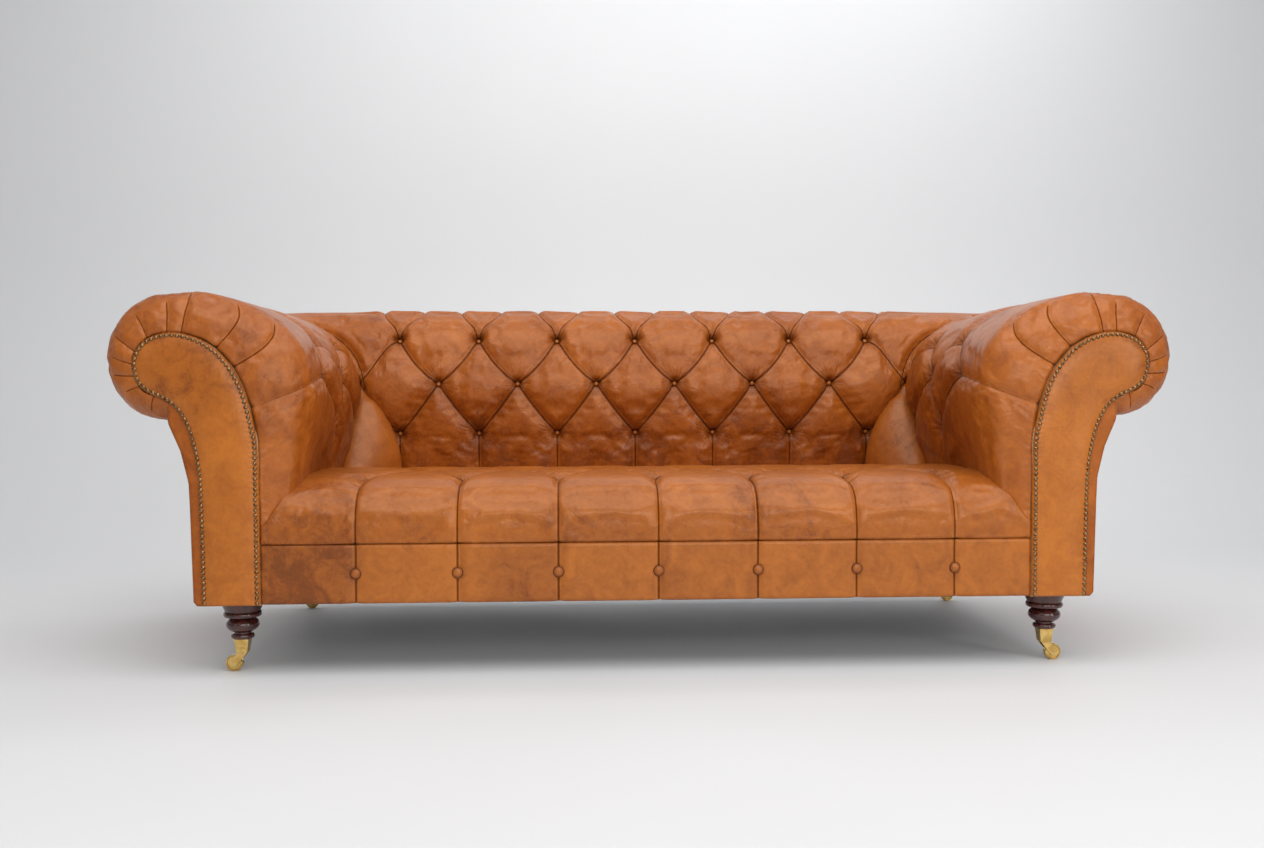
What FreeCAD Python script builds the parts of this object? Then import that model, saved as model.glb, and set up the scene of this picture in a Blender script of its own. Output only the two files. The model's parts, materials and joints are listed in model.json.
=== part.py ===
import FreeCAD, Part
import math
import os
import re
import Sketcher
from types import SimpleNamespace

# Chesterfield sofa: a timber frame with springs and webbing, deep-buttoned leather pads,
# scroll-shaped arm facings with dome nails, turned legs and four swivel castors.
# Millimetres. X runs along the seat, minus Y is the front, Z is up.
# The origin is on the floor under the middle of the sofa.

V = FreeCAD.Vector
SIDES = (("left", -1), ("right", 1))
CORNERS = (("front_left", -1, -1), ("front_right", 1, -1), ("rear_left", -1, 1), ("rear_right", 1, 1))

SIZES = {
    # Overall
    "half_width": 1093,          # middle of the sofa to the outside of the arm roll
    "half_depth": 445,           # middle of the sofa to the nail heads and to the back roll
    "body_bottom": 143.5,        # underside of the upholstered body
    "crease_height": 265.5,      # sewn crease between seat and front border
    "rest_gap": 0.3,             # clearance between pieces that rest on each other
    # Rolls
    "arm_roll_radius": 131,
    "arm_roll_height": 640,
    "back_roll_radius": 140,
    "back_roll_height": 642,
    "corner_radius": 261,        # plan radius of the roll round the rear corners
    # Places measured in from the overall sizes
    "base_inset": 179,           # outside of the roll to the lower arm's outside
    "rear_inset": 65,            # back of the roll to the back panel
    "tuft_inset": 392,           # outside of the roll to the arm's tufted face
    "panel_thick": 4,
    # Frame timber
    "rail_thick": 28,
    "rail_clear": 2.5,           # rails sit this much above the body's underside
    "block_width": 91.7,
    "block_depth": 79,
    "block_height": 44.5,
    "post_depth": 46.5,
    "top_rail_height": 578,      # underside of the arm and back top rails
    "top_rail_thick": 32,
    "arm_rail_width": 90,
    "back_rail_width": 70,
    "stay_height": 25,
    "stay_out": 9,               # stay rail's face past the facing's inner nail line
    "top_rail_lean": 36.7,       # back top rail forward of the uprights
    "post_in": 25,               # leg block's inner face to the back post
    "rail_lap": 5.5,             # arm top rail's bearing on the back post
    "side_rail_height": 100,
    "upright_width": 50,
    "cross_height": 54,
    # Springs, webbing and sheets
    "wire_diameter": 4,
    "spring_spaces": 8.4,        # seat width in spring spaces
    "spring_swing": 22,
    "spring_turns": 24,
    "spring_end": 13.5,          # rail's outer face to the spring's end run
    "clip_width": 20,
    "clip_depth": 12,
    "strap_width": 50,
    "strap_thick": 2,
    "strap_spaces": 6.1,         # tufted back's width in strap spaces
    "hessian_thick": 2,
    "hessian_margin": 8,
    "clip_room": 24,             # front rail's face to the hessian
    "dust_thick": 1.5,
    # Facings
    "facing_inner": 306,         # outside of the roll to the facing's inner nail line
    "facing_outer": 203,         # outside of the roll to the facing's outer nail line
    "nail_margin": 6,            # nail line to the facing's edge
    "board_thick": 22,
    "cover_thick": 5.7,
    "nail_radius": 4.3,
    "nail_height": 3,
    "nail_pitch": 10.2,
    # Tufts and pleats
    "row_low": 459,
    "row_mid": 590,
    "row_top": 711,
    "tuft_depth": 27,            # button's seat below the pad's crown
    "seat_tuft_depth": 22,
    "arm_row_first": 226,        # nail heads to the first arm tuft
    "button_radius": 7,
    "button_height": 5,
    "dimple_floor": 9,
    "border_button_radius": 11,
    "border_button_height": 5,
    "border_button_drop": 60.5,  # crease to the middle of a border button
    "border_thick": 20,
    "border_set_back": 11,       # nail heads to the border's face
    "pleat_spaces": 7.7,         # seat width in pleat spaces
    "pleat_shift": 14.5,         # the row of pleats stands a little to the right
    "pleat_width": 3,
    "pleat_depth": 8,
    "seat_row_first": 156,       # nail heads to the first seat row
    "seat_rear_margin": 48,      # last seat row to the back edge of the seat
    "seat_crown": 395,
    "front_rounding": 66,        # depth of the roll's rounded front
    # Legs and castors
    "leg_inset": 259,            # outside of the roll to the leg's middle
    "front_leg_inset": 71,
    "rear_leg_inset": 115,
    "leg_top_radius": 43.5,
    "leg_waist_radius": 35,
    "leg_ring_radius": 38,
    "leg_bowl_radius": 33,
    "leg_neck_radius": 17,
    "leg_foot_radius": 23.5,
    "cup_top": 66.5,             # floor to the top of the brass cup
    "cup_bottom": 38.5,
    "cup_top_width": 29,
    "cup_bottom_width": 22,
    "bolt_radius": 4,
    "bolt_length": 70,
    "bolt_gap": 0.2,
    "wheel_radius": 17,
    "wheel_width": 14,
    "trail": 17,                 # pintle to axle
    "axle_radius": 2.5,
    "pintle_radius": 3.5,
    "pintle_length": 18,
    "running_gap": 0.05,
    "fork_plate_thick": 2.2,
    "fork_plate_radius": 9,
    "cheek_thick": 2.2,
    "cheek_gap": 0.8,
    "castor_gap": 0.4,           # fork plate to cup
}

doc = FreeCAD.newDocument("sofa")
sheet = doc.addObject("Spreadsheet::Sheet", "sizes")
for row, (alias, number) in enumerate(SIZES.items(), 1):
    sheet.set(f"A{row}", alias)
    sheet.set(f"B{row}", str(number))
    sheet.setAlias(f"B{row}", alias)
doc.recompute()
s = SimpleNamespace(**{alias: float(sheet.get(alias)) for alias in SIZES})
ALIAS = re.compile(r"\b(" + "|".join(sorted(SIZES, key=len, reverse=True)) + r")\b")
pieces = []


def formula(text):
    """A length written with the sheet's words, as the document reads it."""
    return ALIAS.sub(r"sizes.\1", text)


def tie(thing, **lengths):
    """Bind properties to lengths; an underscore pair stands for a dot."""
    for name, text in lengths.items():
        thing.setExpression(name.replace("__", "."), formula(text))
    return thing


def place(thing, x="0", y="0", z="0"):
    return tie(thing, Placement__Base__x=x, Placement__Base__y=y, Placement__Base__z=z)


def keep(thing, label):
    """Name a finished sub-part, so that it is written out."""
    thing.Label = label
    pieces.append(thing)
    return thing


def box(name, x, y, z):
    """A board between two places on each axis."""
    board = doc.addObject("Part::Box", name)
    for side, (low, high) in zip(("Length", "Width", "Height"), (x, y, z)):
        board.setExpression(side, formula(f"({high}) - ({low})"))
    return place(board, x[0], y[0], z[0])


def span(side, low, high):
    """The same stretch of X on the left or the right side."""
    return (low, high) if side > 0 else (f"-({high})", f"-({low})")


def centred(middle, width):
    return (f"({middle}) - ({width}) / 2", f"({middle}) + ({width}) / 2")


def cylinder(name, radius, length, x="0", y="0", z="0"):
    rod = doc.addObject("Part::Cylinder", name)
    tie(rod, Radius=radius, Height=length)
    return place(rod, x, y, z)


def cut(name, base, *tools):
    thing = doc.addObject("Part::Cut", name)
    thing.Base = base
    thing.Tool = tools[0] if len(tools) == 1 else fuse(name + "_tools", *tools)
    return thing


def fuse(name, *shapes):
    thing = doc.addObject("Part::MultiFuse", name)
    thing.Shapes = list(shapes)
    return thing


def group(name, shapes):
    thing = doc.addObject("Part::Compound", name)
    thing.Links = list(shapes)
    return thing


def feature(name, shape):
    thing = doc.addObject("Part::Feature", name)
    thing.Shape = shape
    return thing


# Places used by several pieces

BASE_X = "(half_width - base_inset)"
RAIL_X = f"({BASE_X} - panel_thick)"
BLOCK_OUT = f"({RAIL_X} - rail_thick - rest_gap)"
BLOCK_IN = f"({BLOCK_OUT} - block_width)"
FRONT_LEG_Y = "(front_leg_inset - half_depth)"
REAR_LEG_Y = "(half_depth - rear_leg_inset)"
BLOCK_FRONT = f"({FRONT_LEG_Y} - block_depth / 2)"
REAR_PANEL_Y = "(half_depth - rear_inset)"
BACK_RAIL_Y = f"({REAR_PANEL_Y} - panel_thick - rail_thick)"
UPRIGHT_BACK = f"({BACK_RAIL_Y} - rest_gap)"
UPRIGHT_FRONT = f"({UPRIGHT_BACK} - rail_thick)"
RAIL_LOW = "(body_bottom + rail_clear)"
HESSIAN_LOW = "(crease_height - rest_gap - hessian_thick)"
WIRE_MIDDLE = f"({HESSIAN_LOW} - rest_gap - wire_diameter / 2)"
RAIL_TOP = f"({WIRE_MIDDLE} - wire_diameter / 2 - rest_gap)"
SPRING_PITCH = "(2 * (half_width - facing_inner - nail_margin - rest_gap) / spring_spaces)"
STAY_OUT = "(half_width - facing_inner + stay_out)"
TOP_RAIL_Y = f"({UPRIGHT_FRONT} - top_rail_lean)"
BACK_FOOT = "(back_roll_height - sqrt(back_roll_radius^2 - (back_roll_radius - rear_inset + 2)^2))"
BLOCK_TOP = "(body_bottom + block_height)"
POST_TOP = "(top_rail_height - rest_gap)"
ARM_RAIL_X = f"({BLOCK_OUT} - rail_thick)"

roll_x = s.half_width - s.arm_roll_radius
base_x = s.half_width - s.base_inset
rear_roll_y = s.half_depth - s.back_roll_radius
rear_panel_y = s.half_depth - s.rear_inset
tuft_x = s.half_width - s.tuft_inset
facing_inner_x = s.half_width - s.facing_inner
facing_outer_x = s.half_width - s.facing_outer
facing_front = -s.half_depth + s.nail_height
board_front = facing_front + s.cover_thick + s.rest_gap
board_back = board_front + s.board_thick
seat_half = facing_inner_x - s.nail_margin - s.rest_gap
pad_bottom = s.crease_height
rail_y = rear_panel_y - s.panel_thick - s.rail_thick
block_out = base_x - s.panel_thick - s.rail_thick - s.rest_gap
rail_top = s.crease_height - 3 * s.rest_gap - s.hessian_thick - s.wire_diameter
arm_rail_in = block_out - s.rail_thick
arm_rail_out = arm_rail_in + s.arm_rail_width
top_rail_y = rail_y - s.rest_gap - s.rail_thick - s.top_rail_lean
seat_rear = rear_roll_y - 96
spring_pitch = 2 * seat_half / s.spring_spaces
stay_x = facing_inner_x + s.stay_out - s.rail_thick
stay_y = rail_y - 2 * s.rest_gap - 2 * s.rail_thick
corner_y = s.half_depth - s.corner_radius
front_rail_y = board_back + s.rest_gap
top_rail_top = s.top_rail_height + s.top_rail_thick


# Timber frame

def timber():
    keep(box("front_rail", (f"-{BLOCK_IN} + rest_gap", f"{BLOCK_IN} - rest_gap"),
             (BLOCK_FRONT, f"{BLOCK_FRONT} + rail_thick"), (RAIL_LOW, RAIL_TOP)), "front_rail")
    keep(box("back_rail", (f"-{BLOCK_IN} + rest_gap", f"{BLOCK_IN} - rest_gap"),
             (BACK_RAIL_Y, f"{BACK_RAIL_Y} + rail_thick"), (RAIL_LOW, RAIL_TOP)), "back_rail")
    crosses = [box(f"cross_rail_{name}", span(side, *centred(f"2 * {SPRING_PITCH}", "rail_thick")),
                   (f"{BLOCK_FRONT} + rail_thick + rest_gap", f"{BACK_RAIL_Y} - rest_gap"),
                   (RAIL_LOW, f"{RAIL_LOW} + cross_height")) for name, side in SIDES]
    keep(group("cross_rail_pair", crosses), "cross_rails")
    uprights = [box(f"upright_{name}", span(side, *centred(SPRING_PITCH, "upright_width")),
                    (UPRIGHT_FRONT, UPRIGHT_BACK), (RAIL_LOW, POST_TOP)) for name, side in SIDES]
    keep(group("upright_pair", uprights), "back_uprights")
    keep(box("back_top_rail", (f"-{ARM_RAIL_X} + rest_gap", f"{ARM_RAIL_X} - rest_gap"),
             (TOP_RAIL_Y, f"{TOP_RAIL_Y} + back_rail_width"),
             ("top_rail_height", "top_rail_height + top_rail_thick")), "back_top_rail")
    keep(box("back_stay_rail", (f"-{STAY_OUT}", STAY_OUT),
             (f"{UPRIGHT_FRONT} - rest_gap - rail_thick", f"{UPRIGHT_FRONT} - rest_gap"),
             ("crease_height", "crease_height + stay_height")), "back_stay_rail")
    for name, side in SIDES:
        keep(box(f"side_rail_{name}", span(side, f"{RAIL_X} - rail_thick", RAIL_X),
                 (BLOCK_FRONT, f"{REAR_PANEL_Y} - panel_thick - rest_gap"),
                 (RAIL_LOW, f"{RAIL_LOW} + side_rail_height")), f"side_rail_{name}")
        keep(box(f"front_post_{name}", span(side, ARM_RAIL_X, BLOCK_OUT),
                 (BLOCK_FRONT, f"{BLOCK_FRONT} + post_depth"), (BLOCK_TOP, POST_TOP)), f"front_post_{name}")
        keep(box(f"back_post_{name}", span(side, f"{BLOCK_IN} + post_in", BLOCK_OUT),
                 (f"{REAR_LEG_Y} - block_depth / 2", UPRIGHT_BACK),
                 (BLOCK_TOP, POST_TOP)), f"back_post_{name}")
        keep(box(f"arm_top_rail_{name}", span(side, ARM_RAIL_X, f"{ARM_RAIL_X} + arm_rail_width"),
                 (BLOCK_FRONT, f"{REAR_LEG_Y} - block_depth / 2 + rail_lap"),
                 ("top_rail_height", "top_rail_height + top_rail_thick")), f"arm_top_rail_{name}")
        keep(box(f"arm_stay_rail_{name}", span(side, f"{STAY_OUT} - rail_thick", STAY_OUT),
                 (f"{BLOCK_FRONT} + post_depth + rest_gap", f"{UPRIGHT_FRONT} - 2 * rest_gap - rail_thick"),
                 ("crease_height", "crease_height + stay_height")), f"arm_stay_rail_{name}")


def leg_places():
    """Each corner's name, its side signs and its leg's middle as lengths."""
    for name, side, end in CORNERS:
        x = "half_width - leg_inset" if side > 0 else "leg_inset - half_width"
        yield name, side, end, x, FRONT_LEG_Y if end < 0 else REAR_LEG_Y


def leg_blocks():
    blocks = []
    for name, side, end, x, y in leg_places():
        block = box(f"block_{name}", span(side, BLOCK_IN, BLOCK_OUT), centred(y, "block_depth"),
                    ("body_bottom", BLOCK_TOP))
        hole = cylinder(f"block_hole_{name}", "bolt_radius + bolt_gap", "block_height + 4",
                        x, y, "body_bottom - 2")
        blocks.append(cut(f"bored_block_{name}", block, hole))
    keep(group("block_set", blocks), "leg_blocks")


# Springs, clips, webbing and sheets

def spring_shape():
    """One zigzag seat spring: straight runs joined by half turns."""
    z = rail_top + s.rest_gap + s.wire_diameter / 2
    first_y = front_rail_y + s.spring_end
    last_y = rear_panel_y - s.panel_thick - s.spring_end
    turns = int(s.spring_turns)
    radius = (last_y - first_y) / (turns - 1) / 2
    edges = []
    for turn in range(turns):
        way = 1 if turn % 2 else -1
        y = first_y + turn * 2 * radius
        near, far = V(-way * s.spring_swing / 2, y, z), V(way * s.spring_swing / 2, y, z)
        edges.append(Part.LineSegment(near, far).toShape())
        if turn < turns - 1:
            middle = V(far.x + way * radius, y + radius, z)
            edges.append(Part.Arc(far, middle, V(far.x, y + 2 * radius, z)).toShape())
    start = edges[0].valueAt(edges[0].FirstParameter)
    section = Part.Wire(Part.makeCircle(s.wire_diameter / 2, start, V(1, 0, 0)))
    return Part.Wire(edges).makePipeShell([section], True, False), first_y, last_y


def springs():
    places = [(count - 3.5) * spring_pitch for count in range(8)]
    wire, first_y, last_y = spring_shape()
    wires = []
    for x in places:
        copy = wire.copy()
        copy.translate(V(x, 0, 0))
        wires.append(copy)
    keep(feature("spring_set", Part.makeCompound(wires)), "seat_springs")
    clips = []
    z = rail_top + s.rest_gap + s.wire_diameter / 2
    height = s.crease_height - s.rest_gap - rail_top
    bore_radius = s.wire_diameter / 2 + s.rest_gap
    for x in places:
        for y in (first_y, last_y):
            low_x = x - s.clip_width / 2
            clip = Part.makeBox(s.clip_width, s.clip_depth, height, V(low_x, y - s.clip_depth / 2, rail_top))
            bore = Part.makeCylinder(bore_radius, s.clip_width, V(low_x, y, z), V(1, 0, 0))
            mouth = Part.makeBox(s.clip_width, 2 * bore_radius, z - rail_top + 1,
                                 V(low_x, y - bore_radius, rail_top - 1))
            clips.append(clip.cut([bore, mouth]))
    keep(feature("clip_set", Part.makeCompound(clips)), "spring_clips")


def prism(outline, along):
    """A straight solid from a closed outline of points."""
    return Part.Face(Part.makePolygon(outline + outline[:1])).extrude(along)


def strap(low_face, high_face, point):
    """A webbing strap tacked to the faces of a stay rail and a top rail."""
    low_at, high_at = low_face - s.rest_gap, high_face - s.rest_gap
    faces = [(low_at, s.crease_height + 4), (low_at, s.crease_height + s.stay_height),
             (high_at, s.top_rail_height), (high_at, top_rail_top - 4)]
    outline = faces + [(place_at - s.strap_thick, z) for place_at, z in reversed(faces)]
    return [point(place_at, z) for place_at, z in outline]


def webbing():
    back = []
    for count in range(6):
        x = (count - 2.5) * 2 * tuft_x / s.strap_spaces - s.strap_width / 2
        back.append(prism(strap(stay_y, top_rail_y, lambda y, z: V(x, y, z)), V(s.strap_width, 0, 0)))
    keep(feature("back_strap_set", Part.makeCompound(back)), "back_webbing")
    run = corner_y - front_rail_y
    arm = []
    for side in (-1, 1):
        for share in (0.27, 0.54, 0.81):
            y = front_rail_y + share * run
            outline = strap(stay_x, arm_rail_in, lambda x, z: V(side * x, y, z))
            arm.append(prism(outline, V(0, s.strap_width, 0)))
    keep(feature("arm_strap_set", Part.makeCompound(arm)), "arm_webbing")


def sheets():
    edge = f"{STAY_OUT} - rail_thick - hessian_margin"
    keep(box("seat_hessian", (f"-({edge})", edge),
             (f"{BLOCK_FRONT} + clip_room", f"{UPRIGHT_FRONT} - rest_gap"),
             (HESSIAN_LOW, f"{HESSIAN_LOW} + hessian_thick")), "seat_hessian")
    keep(box("dust_cover", (f"-{BLOCK_IN} + 2", f"{BLOCK_IN} - 2"),
             (BLOCK_FRONT, f"{BACK_RAIL_Y} + rail_thick"),
             (f"{RAIL_LOW} - rest_gap - dust_thick", f"{RAIL_LOW} - rest_gap")), "dust_cover")


# Facings: scroll boards, their leather covers and the dome nails

SCROLL = ((-68, -273), (-57, -178), (-35, -117), (-2, -83), (43, -58), (58, -15), (46, 18),
          (6, 40), (-48, 36), (-94, 11), (-130, -32), (-154, -88), (-168, -147), (-174, -229))


def scroll_edges(side, y, bottom, margin=0.0):
    """The nail line, or an outline a margin outside it: outer side, scroll and inner side."""
    points = [V(side * (roll_x + dx), y, s.arm_roll_height + dz) for dx, dz in SCROLL]
    outer_x, inner_x = side * facing_outer_x, side * facing_inner_x
    for wider in (0.0, margin):
        low_outer, low_inner = V(outer_x + side * wider, y, bottom), V(inner_x - side * wider, y, bottom)
        if wider:
            tangents = [curve.tangent(curve.parameter(point))[0] for point in points]
            points = [point + V(0, side * wider, 0).cross(tangent)
                      for point, tangent in zip(points, tangents)]
        curve = Part.BSplineCurve()
        curve.interpolate(Points=points, InitialTangent=V(0, 0, 1), FinalTangent=V(0, 0, -1))
    return [Part.LineSegment(low_outer, points[0]).toShape(), curve.toShape(),
            Part.LineSegment(points[-1], low_inner).toShape()]


def scroll_plate(side, front, thick, margin):
    """A plate of the scroll's outline, wider than the nail line by a margin."""
    edges = scroll_edges(side, front, s.body_bottom, margin)
    first, last = edges[0].Vertexes[0].Point, edges[-1].Vertexes[-1].Point
    wire = Part.Wire(edges + [Part.LineSegment(last, first).toShape()])
    return Part.Face(wire).extrude(V(0, thick, 0))


def facings():
    nails = []
    sphere = (s.nail_radius ** 2 + s.nail_height ** 2) / (2 * s.nail_height)
    sunk = sphere - s.nail_height
    cap_from = math.degrees(math.asin(sunk / sphere))
    for name, side in SIDES:
        keep(feature(f"board_{name}", scroll_plate(side, board_front, s.board_thick, s.nail_margin)),
             f"facing_board_{name}")
        keep(feature(f"cover_{name}", scroll_plate(side, facing_front, s.cover_thick, s.nail_margin)),
             f"facing_cover_{name}")
        line = Part.Wire(scroll_edges(side, facing_front, s.body_bottom + s.nail_margin))
        count = int(line.Length / s.nail_pitch)
        for point in line.discretize(Number=count):
            centre = V(point.x, facing_front + sunk, point.z)
            nails.append(Part.makeSphere(sphere, centre, V(0, -1, 0), cap_from, 90, 360))
    keep(feature("nail_set", Part.makeCompound(nails)), "facing_nails")


# Soft forms. The arm's section is matched point by point to the facing's edge.

ARM_SECTION = ((-240, None), (-248, -240), (-271, -130), (-275, -50), (-252, 22), (-176, 90), (-74, 127),
               (12, 130.5), (103, 81), (131, 0), (98, -87), (38, -125.4), (0, -131))
FRONT_SECTION = ((-182, None), (-182, -229), (-176, -145), (-162, -86), (-137, -28), (-99, 18), (-50, 43),
                 (7, 47), (51, 23), (65, -15), (48, -64), (20, -78), (-4, -88))


def lines(corners):
    """Straight edges from corner to corner."""
    return [Part.LineSegment(start, end).toShape() for start, end in zip(corners, corners[1:])]


def arm_outline(side, y, swell, grow):
    """The arm's section between the facing's edge, at swell 0, and its full size, at 1."""
    points = []
    for (fx, fz), (ax, az) in zip(FRONT_SECTION, ARM_SECTION):
        z = pad_bottom if fz is None else s.arm_roll_height + fz + swell * (az - fz)
        points.append(V(side * (roll_x + fx + swell * (ax - fx) - (grow if fx < -90 else 0)), y, z))
    curve = Part.BSplineCurve()
    curve.interpolate(points)
    back_x = side * (arm_rail_out + 3)
    corner = [points[-1], V(back_x, y, points[-1].z), V(back_x, y, pad_bottom), points[0]]
    return Part.Wire([curve.toShape()] + lines(corner))


def arm_envelope(side, rear, grow=0.0):
    """The arm's closed outer form from the facing back to a rear plane."""
    steps = 4
    wires = []
    for step in range(steps + 1):
        angle = math.pi / 2 * step / steps
        y = board_front + s.front_rounding * (1 - math.cos(angle))
        wires.append(arm_outline(side, y, math.sin(angle), grow))
    front = Part.makeLoft(wires, True, False)
    full = Part.Face(wires[-1]).extrude(V(0, rear - board_front - s.front_rounding, 0))
    return front.fuse(full).removeSplitter()


def arm_hollow(side):
    """The room for rails, posts and webbing inside an arm."""
    inner = stay_x - 5
    top_inner = arm_rail_in - 4
    outer = arm_rail_out + 9
    places = [(inner, pad_bottom - 60), (inner, s.crease_height + s.stay_height),
              (top_inner, top_rail_top - 8), (top_inner, top_rail_top + 2), (outer, top_rail_top + 2),
              (outer, pad_bottom - 60)]
    start = board_front - 10
    return prism([V(side * x, start, z) for x, z in places], V(0, rail_y + 5 - start, 0))


BACK_SECTION = ((-79, None), (-91, -272), (-107, -183), (-123, -102), (-127, -42), (-115, 23), (-83, 93),
                (0, 140))


def back_envelope(half_length, grow=0.0):
    """The back's closed outer form, along the whole sofa."""
    x = -half_length
    points = [V(x, rear_roll_y + dy - grow, pad_bottom if dz is None else s.back_roll_height + dz)
              for dy, dz in BACK_SECTION]
    front = Part.BSplineCurve()
    front.interpolate(points)
    foot_y = rear_panel_y + 2
    drop = math.sqrt(s.back_roll_radius ** 2 - (foot_y - rear_roll_y) ** 2)
    foot = V(x, foot_y, s.back_roll_height - drop)
    angle = math.atan2(-drop, foot_y - rear_roll_y) / 2 + math.pi / 4
    middle = V(x, rear_roll_y + s.back_roll_radius * math.cos(angle),
               s.back_roll_height + s.back_roll_radius * math.sin(angle))
    roll = Part.Arc(points[-1], middle, foot)
    inner_y = rear_panel_y - s.panel_thick - 5
    corner = [foot, V(x, inner_y, foot.z), V(x, inner_y, pad_bottom), points[0]]
    edges = [front.toShape(), roll.toShape()] + lines(corner)
    return Part.Face(Part.Wire(edges)).extrude(V(2 * half_length, 0, 0)), foot.z


def back_hollow(foot):
    low_y, top_y = stay_y - 3, top_rail_y - 3
    rear = top_rail_y + s.back_rail_width + s.rest_gap
    places = [(low_y, pad_bottom - 60), (top_y, top_rail_top - 8), (top_y, top_rail_top + 2),
              (rear, top_rail_top + 2), (rear, foot), (rear_panel_y + 6, foot),
              (rear_panel_y + 6, pad_bottom - 60)]
    half_length = arm_rail_out + 9
    return prism([V(-half_length, y, z) for y, z in places], V(2 * half_length, 0, 0))


SEAT_FRONT = ((2, 0), (0, 22), (3, 48), (18, 86), (54, 112))
SEAT_TOP = ((0.17, -4.5), (0.31, 0), (0.47, 0), (0.65, -4.5), (0.87, -15.5), (1, -25.5))


def seat_envelope(half_length, grow=0.0, sunk=0.0):
    """The seat's closed outer form; sunk gives the form below the leather."""
    start = -s.half_depth + s.border_set_back - 3
    points = [V(-half_length, start + dy + sunk, pad_bottom + dz + (grow if dz > 48 else 0))
              for dy, dz in SEAT_FRONT]
    points += [V(-half_length, start + share * (seat_rear - start), s.seat_crown + dz + grow - sunk)
               for share, dz in SEAT_TOP]
    curve = Part.BSplineCurve()
    curve.interpolate(points)
    corner = [points[-1], V(-half_length, seat_rear, pad_bottom), points[0]]
    edges = [curve.toShape()] + lines(corner)
    return Part.Face(Part.Wire(edges)).extrude(V(2 * half_length, 0, 0))


# Tufts: a button's place, the way it faces, and the creases that join two of them

def dimple(place_at, way):
    """The funnel that a button draws into a pad."""
    depth = 60
    mouth = s.dimple_floor + depth * math.tan(math.radians(34))
    return Part.makeCone(s.dimple_floor, mouth, depth, place_at, way)


def crease(start, end, way, lift=9, opening=7):
    """A wedge that opens outwards, with its edge along the line between two tufts."""
    height = 70
    along = (end - start).normalize()
    start = start - along * 4
    across = along.cross(way).normalize() * (height * math.tan(math.radians(opening)))
    foot = start + way * lift
    top = foot + way * height
    return prism([foot, top + across, top - across], end + along * 4 - start)


def tuft_pitch():
    return 2 * tuft_x / 7


def settled(form, near, way, depth):
    """A tuft's seat: so deep below the point where a line along its way leaves the form."""
    line = Part.LineSegment(near - way * 150, near + way * 300).toShape()
    top = max((vertex.Point for vertex in form.common(line).Vertexes), key=lambda point: point.dot(way))
    return top - way * depth, way


def back_tufts(form):
    """Rows of (place, way) on the back, bottom row first."""
    pitch = tuft_pitch()
    forward, sloped = V(0, -1, 0), V(0, -0.909, 0.416)
    rows = ((s.row_low, 3, 7, forward), (s.row_mid, 2.5, 6, forward), (s.row_top, 3, 7, sloped))
    return [[settled(form, V((count - middle) * pitch, rear_roll_y - 90, z), way, s.tuft_depth)
             for count in range(number)] for z, middle, number, way in rows]


def corner_tuft(side):
    return V(side * tuft_x, rear_roll_y - 100, s.row_mid), V(-side * 0.62, -0.785, 0)


def arm_tufts(side, form):
    """Rows of (place, way) on an arm's inside, bottom row first."""
    inward, sloped = V(-side, 0, 0), V(-side * 0.64, 0, 0.768)
    first = s.arm_row_first - s.half_depth
    pitch = (rear_roll_y - 100 - first) / 2
    rows = ((16, s.row_mid - 115, (0.68, 1.68), inward), (11, s.row_mid + 17, (0, 1), inward),
            (68, s.row_mid + 104, (0.5, 1.5), sloped))
    return [[settled(form, V(side * (tuft_x + out), first + step * pitch, z), way, s.tuft_depth)
             for step in steps] for out, z, steps, way in rows]


def pleat_places():
    pitch = 2 * seat_half / s.pleat_spaces
    return [(count - 3) * pitch + s.pleat_shift for count in range(7)], pitch


def seat_row_pitch():
    return (seat_rear - s.seat_rear_margin + s.half_depth - s.seat_row_first) / 3


def seat_tufts(form):
    """Rows of tufts on the seat, front row first."""
    xs, pitch = pleat_places()
    rows = []
    for row in range(4):
        y = -s.half_depth + s.seat_row_first + row * seat_row_pitch()
        line = xs if row % 2 == 0 else [x + pitch / 2 for x in xs[:-1]]
        rows.append([settled(form, V(x, y, s.seat_crown), V(0, 0, 1), s.seat_tuft_depth) for x in line])
    return rows


def joined(rows, reach):
    """Creases between neighbours of two rows that stand half a step apart."""
    tools = []
    for low, high in zip(rows, rows[1:]):
        for place_a, way_a in low:
            for place_b, way_b in high:
                if abs(place_a.x - place_b.x) + abs(place_a.y - place_b.y) < reach:
                    tools.append(crease(place_a, place_b, (way_a + way_b).normalize()))
    return tools


def largest(shape):
    return max(shape.Solids, key=lambda solid: solid.Volume)


def carved(envelope, tools):
    """A pad with its tufts and creases cut in, as one sound solid."""
    pad = largest(envelope.cut(tools))
    if not pad.isValid():
        pad.fix(0.01, 0.001, 0.1)
    return pad


def back_pad(envelope, rows):
    corners = [corner_tuft(side) for side in (-1, 1)]
    tools = [dimple(*tuft) for tuft in rows[0] + rows[1] + rows[2] + corners]
    tools += joined([rows[0], rows[1] + corners, rows[2]], tuft_pitch() * 0.75)
    for place_at, way in rows[0]:
        tools.append(crease(place_at, V(place_at.x, place_at.y, s.seat_crown - 40), way))
    crest = V(0, rear_roll_y - 8, s.back_roll_height + s.back_roll_radius - 16)
    for place_at, way in rows[2]:
        for turn in (-1, 1):
            over = crest + V(place_at.x + turn * tuft_pitch() * 0.27, 0, 0)
            tools.append(crease(place_at, over, way, 5, 5))
    return carved(envelope, tools)


def arm_pad(side, envelope, rows):
    tools = [dimple(*tuft) for tuft in rows[0] + rows[1] + rows[2] + [corner_tuft(side)]]
    tools += joined(rows, 175)
    return carved(envelope, tools)


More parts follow.
